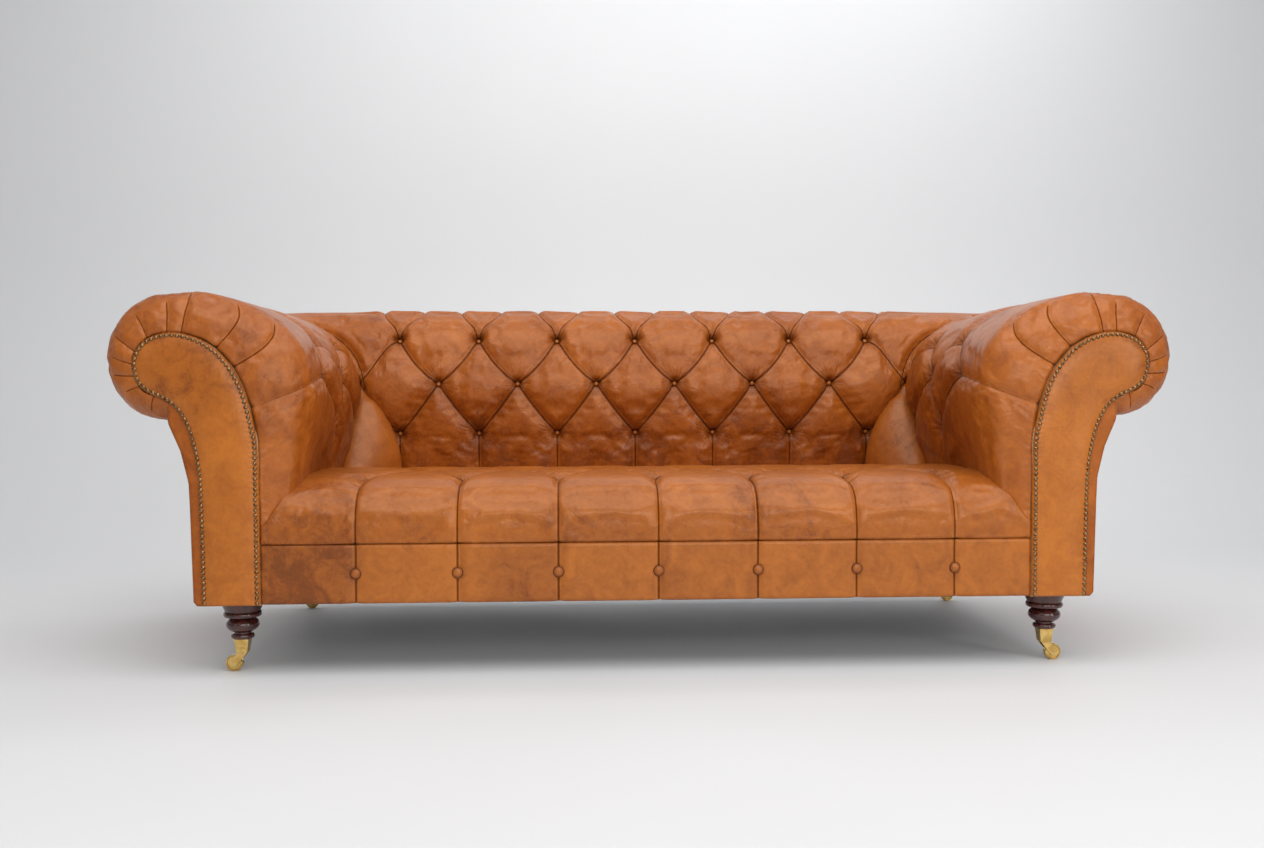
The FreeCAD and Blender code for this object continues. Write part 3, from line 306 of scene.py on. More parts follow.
class Hide:
    """A hide laid flat on a grid: how deep each point is pulled and what lies near it."""

    def __init__(self, a_range, b_range, cell):
        self.low = np.array([a_range[0], b_range[0]])
        self.high = np.array([a_range[1], b_range[1]])
        self.counts = np.rint((self.high - self.low) / cell).astype(int)
        self.step = (self.high - self.low) / self.counts
        columns, rows = (self.low[i] + self.step[i] * np.arange(self.counts[i] + 1) for i in (0, 1))
        self.flat = np.stack(np.meshgrid(columns, rows), axis=-1)
        size = self.flat.shape[:2]
        # The tone shifts the hide's colour; on some pieces it carries painted shade.
        self.depth, self.tone = np.zeros(size), np.full(size, 0.5)
        self.near = np.full(size, FAR)
        self.tuft = np.full(size + (3,), 0.1)
        self.held = np.zeros(size, bool)
        self.splits = []

    def snap(self, line, pulled, depth, fixed):
        """Move the vertices nearest to a fold onto it, and hold them at its depth."""
        inside = ((line >= self.low) & (line <= self.high)).all(1)
        line, pulled = line[inside], pulled[inside]
        if len(line) < 2:
            return
        at = np.clip(np.rint((line - self.low) / self.step).astype(int), 0, self.counts)
        change = np.flatnonzero(np.any(np.diff(at, axis=0) != 0, axis=1)) + 1
        chain = []
        for run in np.split(np.arange(len(line)), change):
            middle = run[len(run) // 2]
            place = (at[middle][1], at[middle][0])
            if not fixed[place]:
                self.flat[place] = line[middle]
            depth[place] = max(depth[place], pulled[middle])
            fixed[place] = True
            chain.append(place)
        self.splits += [(first, second) for first, second in zip(chain, chain[1:])
                        if abs(first[0] - second[0]) == 1 and abs(first[1] - second[1]) == 1]

    def relax(self, depth, fixed, reach):
        """The depth of a membrane that is held where it is fixed and rises within its reach."""
        wide, high = 1 / self.step ** 2
        whole = 2 * wide + 2 * high + 1 / reach ** 2
        for _ in range(int(5 * reach / self.step.min())):
            edged = np.pad(depth, 1, mode="edge")
            free = wide * (edged[1:-1, 2:] + edged[1:-1, :-2]) + high * (edged[2:, 1:-1] + edged[:-2, 1:-1])
            depth = np.where(fixed, depth, free / whole)
        return depth

    def pull(self, folds, tufts=(), tuft_depth=0.0, reach=0.030, thin=0.0):
        """Draw the hide down along folds and at tufts."""
        depth, fixed = np.zeros(self.depth.shape), np.zeros(self.depth.shape, bool)
        for line, pulled in folds:
            self.snap(line, pulled, depth, fixed)
            self.mark(line, pulled, thin)
        for place in tufts:
            offset = self.flat - np.array(place)
            away = np.hypot(offset[..., 0], offset[..., 1])
            seat = away < max(BUTTON_SEAT, away.min() + 1e-6)
            depth[seat] = tuft_depth
            fixed |= seat
            closer = away < self.tuft[..., 2]
            self.tuft[closer] = np.dstack([offset, away])[closer]
        self.held |= fixed
        self.depth += self.relax(depth, fixed, reach)

    def mark(self, line, pulled, thin):
        """Note how near each point is to a fold; a fading fold counts as farther off."""
        faded = FADED * (1 - np.clip(pulled / (pulled.max() + 1e-9) * 2, 0, 1)) + thin
        low = np.clip(((line.min(0) - WINDOW - self.low) / self.step).astype(int), 0, self.counts)
        high = np.clip(((line.max(0) + WINDOW - self.low) / self.step).astype(int) + 1, 0, self.counts)
        window = (slice(low[1], high[1] + 1), slice(low[0], high[0] + 1))
        spots = self.flat[window].reshape(-1, 1, 2)
        best = np.full(len(spots), FAR)
        for first in range(0, len(line), 40):
            offset = spots - line[None, first:first + 40]
            away = np.sqrt((offset ** 2).sum(-1)) + faded[None, first:first + 40]
            best = np.minimum(best, away.min(1))
        self.near[window] = np.minimum(self.near[window], best.reshape(self.near[window].shape))


# %% [markdown]
# The grid then goes to its place on the pad, each vertex pushed in along the pad's normal by
# its depth. Quads that a fold crosses from corner to corner are split along it. The distances
# to folds and buttons stay on the mesh as attributes for the leather's colour and relief.

# %% A hide becomes a mesh
def made(name, bm):
    """An object from a bmesh, at the origin, smooth shaded."""
    mesh = bpy.data.meshes.new(name)
    bm.to_mesh(mesh)
    bm.free()
    mesh.polygons.foreach_set("use_smooth", [True] * len(mesh.polygons))
    piece = bpy.data.objects.new(name, mesh)
    bpy.context.scene.collection.objects.link(piece)
    return piece


def crown_and_normal(surface, flat, low, high, flip):
    """Where flat points lie on the pad's crown, and which way is out."""
    small = 2e-4
    inner = np.clip(flat, low + small, high - small)
    a, b = inner[:, 0], inner[:, 1]
    along = surface(a + small, b) - surface(a - small, b)
    across = surface(a, b + small) - surface(a, b - small)
    normal = np.cross(along, across) * (-1 if flip else 1)
    normal /= np.linalg.norm(normal, axis=1)[:, None] + 1e-12
    return surface(flat[:, 0], flat[:, 1]), normal


def upholstered(name, hide, surface, flip=False, keep=None):
    """A hide as a sheet on its pad, with its attributes."""
    flat = hide.flat.reshape(-1, 2)
    crown, normal = crown_and_normal(surface, flat, hide.low, hide.high, flip)
    places = crown - normal * hide.depth.reshape(-1)[:, None]
    bm = bmesh.new()
    wide, high = (int(count) for count in hide.counts)
    bmesh.ops.create_grid(bm, x_segments=wide, y_segments=high, size=1)
    where = (np.array([v.co[:2] for v in bm.verts]) + 1) / 2 * hide.counts
    index = np.rint(where).astype(int) @ np.array([1, wide + 1])
    marks = {"fold": hide.near, "dip": hide.depth, "tone": hide.tone, "held": hide.held.astype(float)}
    floats = [(bm.verts.layers.float.new(label), values.reshape(-1)) for label, values in marks.items()]
    tuft_layer, tuft = bm.verts.layers.float_vector.new("tuft"), hide.tuft.reshape(-1, 3)
    by_index = {}
    for vertex, i in zip(bm.verts, index.tolist()):
        vertex.co = places[i]
        vertex[tuft_layer] = tuft[i]
        for layer, values in floats:
            vertex[layer] = values[i]
        by_index[i] = vertex
    for first, second in hide.splits:
        ends = [by_index[place[0] * (wide + 1) + place[1]] for place in (first, second)]
        for face in set(ends[0].link_faces) & set(ends[1].link_faces):
            if len(face.verts) == 4:
                bmesh.utils.face_split(face, *ends)
    if keep is not None:
        wanted = keep(flat[:, 0], flat[:, 1])
        bmesh.ops.delete(bm, geom=[by_index[i] for i in by_index if not wanted[i]], context="VERTS")
    if flip:
        bmesh.ops.reverse_faces(bm, faces=bm.faces[:])
    print(name, len(bm.verts), "vertices")
    return made(name, bm)


# %% [markdown]
# The depth field gives the tufts their large shape, but hide over wadding also has small
# creases of its own, which differ from tuft to tuft. Cloth finds those: each big sheet is
# pinned at its folds, buttons and rim, made a little too large for its place and blown out for
# a few frames. The result is written into the mesh, and no point may move far, so that a sheet
# keeps its fit to its neighbours.

# %% The hide settles
STEPS, PRESSURE = 8, 4.0


def read(collection, key, wide=1, kind=float):
    """One value or one row of values of each vertex, edge or loop."""
    values = np.empty(len(collection) * wide, kind)
    collection.foreach_get(key, values)
    return values.reshape(-1, wide) if wide > 1 else values


def settled(piece, slack, cap):
    """Let the hide find its own small creases."""
    mesh, scene = piece.data, bpy.context.scene
    start = read(mesh.vertices, "co", 3)
    held = read(mesh.attributes["held"].data, "value")
    faces_at_edge = np.bincount(read(mesh.loops, "edge_index", kind=int), minlength=len(mesh.edges))
    held[read(mesh.edges, "vertices", 2, int)[faces_at_edge == 1].ravel()] = 1
    pins = piece.vertex_groups.new(name="held")
    pins.add(np.flatnonzero(held > 0.5).tolist(), 1.0, "REPLACE")
    cloth = piece.modifiers.new("cloth", "CLOTH")
    cloth.settings.vertex_group_mass = "held"
    cloth.settings.quality = 3
    cloth.settings.mass = 0.6
    cloth.settings.tension_stiffness = cloth.settings.compression_stiffness = 30
    cloth.settings.shear_stiffness = 15
    cloth.settings.bending_stiffness = 0.4
    cloth.settings.shrink_min = -slack
    cloth.settings.use_pressure = True
    cloth.settings.uniform_pressure_force = PRESSURE
    cloth.settings.effector_weights.gravity = 0
    cloth.collision_settings.use_collision = False
    cloth.point_cache.frame_end = STEPS
    for frame in range(1, STEPS + 1):
        scene.frame_set(frame)
    shaped = piece.evaluated_get(bpy.context.evaluated_depsgraph_get()).to_mesh()
    step = read(shaped.vertices, "co", 3) - start
    piece.modifiers.remove(cloth)
    piece.vertex_groups.remove(pins)
    scene.frame_set(1)
    length = np.linalg.norm(step, axis=1)[:, None]
    step *= np.minimum(1, cap / np.maximum(length, 1e-9))
    mesh.vertices.foreach_set("co", (start + step).ravel())
    mesh.update()
    print(piece.name, "settled by %.1f mm on average" % (np.minimum(length, cap).mean() * 1000))


def lined(piece, thick):
    """Give a sheet its wadding: a closed shell that thick, grown inwards."""
    shell = piece.modifiers.new("wadding", "SOLIDIFY")
    shell.thickness = thick
    shell.offset = -1


# %% [markdown]
# The back has three rows of tufts, with the middle row half a step aside. Folds join each
# tuft to its neighbours above and below and make the diamonds. From the top row two pleats
# run over the roll, and from the bottom row one pleat drops behind the seat.

# %% The buttoned back
PITCH = 0.20029
ROW_LOW, ROW_MID, ROW_TOP = 0.459, 0.590, 0.711
TUFT_DEPTH = 0.027


def back_b(z):
    """The length along the back's section at a height on its face."""
    return float(np.interp(z - BACK_Z, back_front[:, 1], back_s[:FINE]))


def back_a(x, b):
    """The hide length a at which the back reaches x."""
    limit = float(back_limit(np.array([b]))[0])
    size = abs(x)
    if size > SQUEEZE_FROM:
        size = SQUEEZE_FROM + (size - SQUEEZE_FROM) * (CORNER_X - SQUEEZE_FROM) / (limit - SQUEEZE_FROM)
    return math.copysign(size, x)


TUFTS = 7
low_row, top_row = ([((i - 3) * PITCH, back_b(z)) for i in range(TUFTS)] for z in (ROW_LOW, ROW_TOP))
mid_row = [(back_a((i - 3.5) * PITCH, back_b(ROW_MID)), back_b(ROW_MID)) for i in range(TUFTS + 1)]
back_folds = []
for i in range(TUFTS):
    for j, bow in ((i, 1), (i + 1, -1)):
        back_folds.append(fold([low_row[i], mid_row[j]], bow=0.003 * bow))
        back_folds.append(fold([top_row[i], mid_row[j]], bow=0.011 * bow, deep=0.010))
back_pleats = []
for x, b in low_row:
    back_folds.append(fold([(x, b), (x, 0.06)], deep=0.007, ends=(0.022, 0.007)))
for x, b in top_row:
    for way, out in ((-1, 0.050), (1, 0.056)):
        places = ((0, b), (0.010, b + 0.030), (0.032, b + 0.068), (out, BACK_CREST + 0.01),
                  (out + 0.004, BACK_CREST + 0.12), (out + 0.004, back_s[-1] - 0.01))
        line = [(x + way * aside, along) for aside, along in places]
        back_pleats.append(fold(line, deep=0.0065, ends=(0.016, 0.004)))
for side in SIDES.values():
    junction = []
    for b in np.linspace(0.06, BACK_JOIN + 0.004, 12):
        z = BACK_Z + float(np.interp(b, back_s, back_line[:, 1]))
        junction.append((side * abs(back_a(float(arm_inner_x(min(z, 0.7499))), b)), b))
    back_folds.append(fold(junction, deep=0.014, ends=(0.014, 0.010)))


def back_keep(a, b):
    """The hide ends at the corner below the level of the arm."""
    return (np.abs(a) <= CORNER_X + 1e-6) | (b > BACK_JOIN - 0.03)


CELL = 0.005
BACK_END = CORNER_X + CORNER_ARC * math.pi / 2
back_hide = Hide((-BACK_END, BACK_END), (0.05, back_s[-1]), CELL)
back_hide.pull(back_folds, low_row + mid_row + top_row, TUFT_DEPTH)
back_hide.pull(back_pleats, reach=0.012, thin=0.0006)
back_height = back_surface(back_hide.flat[..., 0].ravel(), back_hide.flat[..., 1].ravel())[:, 2]
# Painted shade: the back's tone is lower towards the seat, where the recess is in shade.
back_hide.tone = (0.40 + 0.12 * smooth_step((back_height - 0.40) / 0.24)).reshape(back_hide.tone.shape)
back = upholstered("back_leather", back_hide, back_surface, keep=back_keep)

# %% [markdown]
# The arms are buttoned like the back and run round into it. At the front the hide is drawn to
# the scroll and nailed, and what is too much lies in small pleats that fan out round the
# scroll. Both arms are made from one hide: the right arm is the left one's mirror image.

# %% The arms
def arm_b(z):
    """The length along the arm's section at a height on the inner face."""
    return float(np.interp(z - ARM_Z, arm_full[:ARM_CREST, 1], arm_s[:ARM_CREST]))


def arm_tuft(y, z):
    """A tuft's place on the arm's flat hide."""
    b = arm_b(z)
    return arm_length_at(y, b), b


arm_low = [arm_tuft(y, 0.475) for y in (-0.075, 0.137)]
arm_mid = [arm_tuft(y, 0.607) for y in (-0.219, -0.007)]
arm_top = [arm_tuft(y, 0.694) for y in (-0.113, 0.099)]
arm_corner = arm_tuft(0.205, 0.590)
crest_b = float(arm_s[ARM_CREST])
mids = [arm_mid[0], arm_mid[1], arm_mid[1], arm_corner]
arm_folds = []
for ends, bows in ((arm_top, (0.008, -0.008, 0.008, -0.008)), (arm_low, (0.012, -0.012, 0.012, -0.008))):
    for mid, end, bow in zip(mids, [ends[0], ends[0], ends[1], ends[1]], bows):
        arm_folds.append(fold([mid, end], bow=bow))
for a, b in arm_low:
    arm_folds.append(fold([(a, b), (a + 0.006, 0.10)], deep=0.007, ends=(0.022, 0.007)))
for a, b in arm_top:
    for way, out in ((-1, 0.045), (1, 0.05)):
        places = ((0, b), (0.012, b + 0.05), (out, crest_b - 0.02), (out + 0.01, crest_b + 0.12))
        line = [(a + way * aside, along) for aside, along in places]
        arm_folds.append(fold(line, deep=0.006, ends=(0.024, 0.001), fade=(0, 0.10)))
junction = []
for z in np.linspace(0.36, 0.75, 10):
    b = arm_b(z)
    face = BACK_Y + float(np.interp(z - BACK_Z, back_front[:, 1], back_front[:, 0]))
    junction.append((arm_length_at(face, b), b))
arm_folds.append(fold(junction, deep=0.013, ends=(0.013, 0.009)))
print("arm folds", len(arm_folds))

# %% The pleats that fan round the scroll
FAN_AXIS, ROLL_FROM = -0.005, -0.2


def scroll_b(angle):
    """The length along the arm's section of a point on the facing's edge, by its angle about the roll."""
    front = spline(ARM_FRONT, arm_stations, arm_t)
    around = np.degrees(np.arctan2(front[:, 1], front[:, 0] - FAN_AXIS))
    usable = np.flatnonzero((front[:, 1] > ROLL_FROM))
    return float(arm_s[usable[int(np.argmin(np.abs((around[usable] - angle + 180) % 360 - 180)))]])


# Each pleat: angle about the roll at the nails, angle at its far end, length, depth
FAN = [(169, 152, 0.120, 0.0050), (119, 108, 0.150, 0.0045), (88, 78, 0.085, 0.0032), (43, 36, 0.080, 0.0040),
       (9, 8, 0.095, 0.0040), (-12, -8, 0.080, 0.0026), (-30, -27, 0.085, 0.0040), (-46, -47, 0.060, 0.0026),
       (-70, -73, 0.075, 0.0036), (-171, 172, 0.125, 0.0055)]
fan_pleats = []
for start, end, length, depth in FAN:
    b0, b1 = scroll_b(start), scroll_b(end)
    line = [(0.0, b0), (length * 0.35, b0 + (b1 - b0) * 0.15), (length, b1)]
    fan_pleats.append(fold(line, deep=depth, ends=(depth, depth), fade=(0, length * 0.6)))
long_b = scroll_b(-148)
fan_pleats.append(fold([(0.0, long_b), (0.10, long_b + 0.35 * (arm_mid[0][1] - long_b)), arm_mid[0]],
                       deep=0.0065, ends=(0.005, 0.020)))

# %% The arms' hide
arm_tufts = arm_low + arm_mid + arm_top + [arm_corner]
arm_hide = Hide((0.0, ARM_END), (0.0, arm_s[-1]), CELL)
arm_hide.pull(arm_folds, arm_tufts, TUFT_DEPTH)
arm_hide.pull(fan_pleats, reach=0.009, thin=0.0009)
behind, up = arm_hide.flat[..., 0], arm_hide.flat[..., 1]
# Painted shade: the arm's tone is lower towards the back and low down, in the recess beside the seat.
recess_shade = smooth_step((behind - 0.10) / 0.22) * (1 - smooth_step((up - 0.20) / 0.25))
arm_hide.tone = 0.52 - 0.11 * recess_shade
arms = {name: upholstered(f"arm_leather_{name}", arm_hide, arm_surface(side), flip=side > 0)
        for name, side in SIDES.items()}

# %% [markdown]
# The seat is one fixed pad. Its rows of tufts make diamonds on top, and from the front row a
# pleat runs over the rounded edge down to the crease.

# %% The seat
SEAT_PITCH, SEAT_TUFT, SEAT_TOP_FROM = 0.20278, 0.022, 400
PLEAT_X = [(i - 3) * SEAT_PITCH + 0.0145 for i in range(7)]


def seat_b(y):
    """The length along the seat's section at a place on its top."""
    return float(np.interp(y - SEAT_Y, seat_line[SEAT_TOP_FROM:, 0], seat_s[SEAT_TOP_FROM:]))


seat_rows = []
for row, y in enumerate((-0.289, -0.139, 0.011, 0.161)):
    xs = PLEAT_X if row % 2 == 0 else [x + SEAT_PITCH / 2 for x in PLEAT_X[:-1]]
    seat_rows.append([(x, seat_b(y)) for x in xs])
seat_folds = []
for row, next_row in zip(seat_rows, seat_rows[1:]):
    for start in row:
        for end in next_row:
            if abs(start[0] - end[0]) < 0.6 * SEAT_PITCH:
                seat_folds.append(fold([start, end], deep=0.008, ends=(0.017, 0.017)))
front_b = seat_rows[0][0][1]
front_pleats = [fold([(x, front_b), (x, 0.12), (x, 0.0)], deep=0.0055, ends=(0.002, 0.002), pull=0.012)
                for x in PLEAT_X]
for x in PLEAT_X:
    seat_folds.append(fold([(x, front_b), (x, 0.17), (x, 0.10)], deep=0.006, ends=(0.017, 0.002),
                           fade=(0, 0.07)))
seat_hide = Hide((-SEAT_HALF, SEAT_HALF), (0.0, seat_s[-1]), CELL)
seat_hide.pull(seat_folds, sum(seat_rows, []), SEAT_TUFT, reach=0.026)
seat_hide.pull(front_pleats, reach=0.008, thin=0.0004)
# Painted light and shade: the seat's front edge is toned darker and its top lighter, as the light falls on
# them.
seat_hide.tone = 0.45 + 0.07 * smooth_step((seat_hide.flat[..., 1] - 0.10) / 0.08)
seat = upholstered("seat_leather", seat_hide, seat_surface)

# %% [markdown]
# Between each arm and the back sits a gusset, a sail-shaped pad that fills the inner corner
# from the corner tuft down to the seat. Its two edges are curves tucked behind the arm and the
# back, and it is fullest a little below the middle. A grid over the two edges makes it, pushed
# out along the sail's own normal.

# %% Corner gussets
GUSSET_TOP, GUSSET_ARM, GUSSET_BACK = np.array([(0.694, 0.192, 0.592), (0.706, 0.050, 0.340),
                                                (0.590, 0.205, 0.340)])
ARM_BOW, BACK_BOW = np.array([0.020, 0, 0]), np.array([-0.030, 0.004, 0])
GUSSET_CELLS, GUSSET_TIP, GUSSET_SWELL, GUSSET_SUNK = 36, 0.004, 0.040, 0.010


def gusset(name, side):
    """One sail between its arm edge and its back edge."""
    to_arm, to_back = GUSSET_ARM - GUSSET_TOP, GUSSET_BACK - GUSSET_TOP
    outward = np.cross(to_back, to_arm)
    outward *= -np.sign(outward[1]) / np.linalg.norm(outward)
    bm = bmesh.new()
    bmesh.ops.create_grid(bm, x_segments=GUSSET_CELLS, y_segments=GUSSET_CELLS, size=1)
    for vertex in bm.verts:
        across, down = (vertex.co.x + 1) / 2, ((1 - vertex.co.y) / 2) ** 0.8
        bow = math.sin(math.pi * down)
        arm_edge = GUSSET_TOP + to_arm * down + ARM_BOW * bow
        back_edge = GUSSET_TOP + to_back * down + BACK_BOW * bow
        tip = GUSSET_TIP * (1 - down) * (0.5 - across) * 2
        full = (4 * across * (1 - across)) ** 0.55 * min(1, down * 5)
        full *= math.sin(math.pi * (0.10 + 0.62 * down))
        x, y, z = arm_edge + (back_edge - arm_edge) * across + outward * (GUSSET_SWELL * full - GUSSET_SUNK)
        vertex.co = (side * (x + tip), y, z)
    if side > 0:
        bmesh.ops.reverse_faces(bm, faces=bm.faces[:])
    return made(name, bm)


gussets = {name: gusset(f"gusset_leather_{name}", side) for name, side in SIDES.items()}
print("gussets", list(gussets))

# %% [markdown]
# The front border is a strip of panels under the seat, each a piece of hide of its own tone,
# tucked into a pleat at every button. The strip's face is flat and its upper and lower edges
# turn inwards. It is one more hide, with upright folds.

# %% The front border
BORDER_FACE, BORDER_LOW, BORDER_TOP, BORDER_TURN = -0.4345, 0.1440, 0.2650, 0.007
PANEL_TONES = (0.445, 0.55, 0.48, 0.57, 0.50, 0.55, 0.51, 0.54)
BUTTON_ROW, BORDER_CELL = 0.205, 0.0045


def border_surface(a, b):
    """The strip's face, with a quarter round at its foot and its top."""
    arc = BORDER_TURN * math.pi / 2
    face = BORDER_TOP - BORDER_LOW - 2 * BORDER_TURN
    low, high = (np.clip(along / arc, 0, 1) * math.pi / 2 for along in (b, b - arc - face))
    z = BORDER_LOW + BORDER_TURN * (1 - np.cos(low) + np.sin(high)) + np.clip(b - arc, 0, face)
    y = BORDER_FACE + BORDER_TURN * (2 - np.sin(low) - np.cos(high))
    return np.stack([a, y, z], axis=-1)


BORDER_LONG = BORDER_TOP - BORDER_LOW + BORDER_TURN * (math.pi - 2)
border_folds = [fold([(x, 0.0), (x, BORDER_LONG)], deep=0.0055, ends=(0.001, 0.001), pull=0.008)
                for x in PLEAT_X]
border_hide = Hide((-SEAT_HALF, SEAT_HALF), (0.0, BORDER_LONG), BORDER_CELL)
border_hide.pull(border_folds, reach=0.008, thin=0.0004)
border_hide.tone = np.array(PANEL_TONES)[np.searchsorted(PLEAT_X, border_hide.flat[..., 0])]
border = upholstered("border_leather", border_hide, border_surface)

# %% [markdown]
# The facings close the fronts of the arms. Leather over a thin pad is stretched on a scroll
# board and nailed round its edge, so it is tight and low under the nails and full between them,
# with a small tuck under each nail. A fine grid is cut to the scroll's outline, its edge is
# moved onto the outline, and each vertex comes forward by how far it is from the nails.

# %% The scroll's outline
SCROLL = ((-.068, -.273), (-.057, -.178), (-.035, -.117), (-.002, -.083), (.043, -.058), (.058, -.015),
          (.046, .018), (.006, .040), (-.048, .036), (-.094, .011), (-.130, -.032), (-.154, -.088),
          (-.168, -.147), (-.174, -.229))
FACING_OUTER, FACING_INNER, BODY_BOTTOM = 0.890, 0.787, 0.1435
NAIL_MARGIN, NAIL_PITCH, NAIL_Y = 0.006, 0.0102, -0.442
STRAIGHT_TO, NAIL_FINE = 0.262, 1400


def nail_line():
    """The line of nails, up the outside, round the scroll and down the inside."""
    points = [(FACING_OUTER, BODY_BOTTOM), (FACING_OUTER, 0.260)]
    points += [(ARM_X + dx, ARM_Z + dz) for dx, dz in SCROLL]
    points += [(FACING_INNER, 0.300), (FACING_INNER, BODY_BOTTOM)]
    stations = arc_length(points)
    line = spline(points, stations, np.linspace(0, stations[-1], NAIL_FINE))
    straight = line[:, 1] < STRAIGHT_TO
    middle = (FACING_OUTER + FACING_INNER) / 2
    line[straight, 0] = np.where(line[straight, 0] > middle, FACING_OUTER, FACING_INNER)
    return line


NAILS = nail_line()
NAIL_S = arc_length(NAILS)


def outline(margin):
    """The facing's edge, a margin outside the nails."""
    along = np.gradient(NAILS, axis=0)
    along /= np.linalg.norm(along, axis=1)[:, None]
    return NAILS + margin * np.c_[along[:, 1], -along[:, 0]]


def inside(points, ring):
    """Which points lie within a ring."""
    count = np.zeros(len(points), int)
    for (x0, z0), (x1, z1) in zip(ring, np.roll(ring, -1, axis=0)):
        crosses = (z0 > points[:, 1]) != (z1 > points[:, 1])
        if crosses.any():
            at = x0 + (points[:, 1] - z0) / (z1 - z0 + 1e-12) * (x1 - x0)
            count += crosses & (points[:, 0] < at)
    return count % 2 == 1


def nearest(points, line):
    """Each point's nearest place on a line of points: its distance and number."""
    away, which = np.full(len(points), 9.0), np.zeros(len(points), int)
    for first in range(0, len(line), 100):
        offset = points[:, None] - line[None, first:first + 100]
        distance = np.sqrt((offset ** 2).sum(-1))
        best = distance.min(1)
        closer = best < away
        away[closer], which[closer] = best[closer], first + distance.argmin(1)[closer]
    return away, which


EDGE = outline(NAIL_MARGIN)

# %% Facings
FACING_CELL = 0.0035
FACING_FULL, EDGE_DROP, NAIL_TUCK = 0.0075, 0.0045, 0.0011


def cut_to_outline(bm, cell):
    """Cut a grid to the facing's edge. Gives the vertices that stay and their flat places."""
    low, high = EDGE.min(0), EDGE.max(0)
    wide, tall = (int(round(length / cell)) for length in high - low)
    bmesh.ops.create_grid(bm, x_segments=wide, y_segments=tall, size=1)
    flat = (np.array([v.co[:2] for v in bm.verts]) + 1) / 2 * (high - low) + low
    verts = list(bm.verts)
    away, which = nearest(flat, EDGE)
    stays = inside(flat, EDGE) | (away < cell * 0.75)
    bmesh.ops.delete(bm, geom=[v for v, stay in zip(verts, stays) if not stay], context="VERTS")
    kept = [(v, i) for i, v in enumerate(verts) if v.is_valid]
    for vertex, i in kept:
        if vertex.is_boundary:
            flat[i] = EDGE[which[i]]
    return kept, flat


def facing(name, side):
    """One facing: full in the middle, low and tucked at the nails."""
    bm = bmesh.new()
    layers = bm.verts.layers.float
    fold_layer, dip_layer, painted_shade_layer = (layers.new(label) for label in ("fold", "dip", "tone"))
    kept, flat = cut_to_outline(bm, FACING_CELL)
    nail_away, nail_at = nearest(flat, NAILS)
    beyond = ~inside(flat, NAILS) & (nail_away > 1e-4)
    for vertex, i in kept:
        distance = -nail_away[i] if beyond[i] else nail_away[i]
        beat = math.cos(2 * math.pi * NAIL_S[nail_at[i]] / NAIL_PITCH)
        tuck = NAIL_TUCK * beat * math.exp(-abs(distance) / 0.006)
        crown = FACING_FULL * (1 - math.exp(-max(distance, 0) / 0.016))
        drop = EDGE_DROP * (1 - math.sqrt(max(0, 1 - (min(distance, 0) / NAIL_MARGIN) ** 2)))
        vertex.co = (side * flat[i][0], NAIL_Y + 0.0015 - crown - tuck + drop, flat[i][1])
        # Painted light at the nails: this fold value lays the painted highlight that the leather puts beside
        # folds along the nails, and the dip value adds painted shade close to them.
        vertex[fold_layer] = 0.004 + abs(distance) * 0.5
        vertex[dip_layer] = 0.010 * math.exp(-abs(distance) / 0.007)
        # Painted shade: the facing's tone is lower at the head of the scroll.
        vertex[painted_shade_layer] = 0.56 - 0.13 * float(smooth_step((flat[i][1] - 0.44) / 0.16))
    if side < 0:
        bmesh.ops.reverse_faces(bm, faces=bm.faces[:])
    return made(name, bm)


facings = {name: facing(f"facing_leather_{name}", side) for name, side in SIDES.items()}
print("facings of", len(facings["left"].data.vertices), "vertices each")

# %% [markdown]
# The outside of the body is plain hide, drawn over the frame with a thin layer of wadding. It
# flares with the frame towards the rolls, and is a little fuller in the middle of each side.

# %% Outside panels
PANEL_Z = (0.1440, 0.338, 0.389, 0.452, 0.5087)
PANEL_FLARE = (0, .005, .007, .022, .046)
EDGE_RISE = EDGE[:500]
BASE_X, REAR_Y, REAR_ROUND = 0.914, 0.380, 0.012
WRAP, WRAP_ROUND, WRAP_Y = 0.050, 0.007, -0.4375
SIDE_TOP, FRONT_TOP, CORNER_RISE = 0.512, 0.556, 0.052
REAR_TOP, REAR_RISE = 0.527, 0.037
FOOT_ROUND, PANEL_FULL, PANEL_LIFT = 0.006, 0.003, 0.0005


def flare_x(z):
    """X of the body's side at a height."""
    return BASE_X + np.interp(z, PANEL_Z, PANEL_FLARE)


def quarter(x):
    """The drop of a quarter circle: 0 at its crown and 1 at its end."""
    return 1 - np.sqrt(1 - np.clip(x, 0, 1) ** 2 + 1e-9)


def foot_round(b):
    """How far a panel turns in at its lower edge."""
    return FOOT_ROUND * quarter(1 - b / 0.016)


def facing_edge_x(z):
    """X of the facing's outer edge, up to the level where the roll begins."""
    return np.interp(z, EDGE_RISE[:, 1], EDGE_RISE[:, 0])


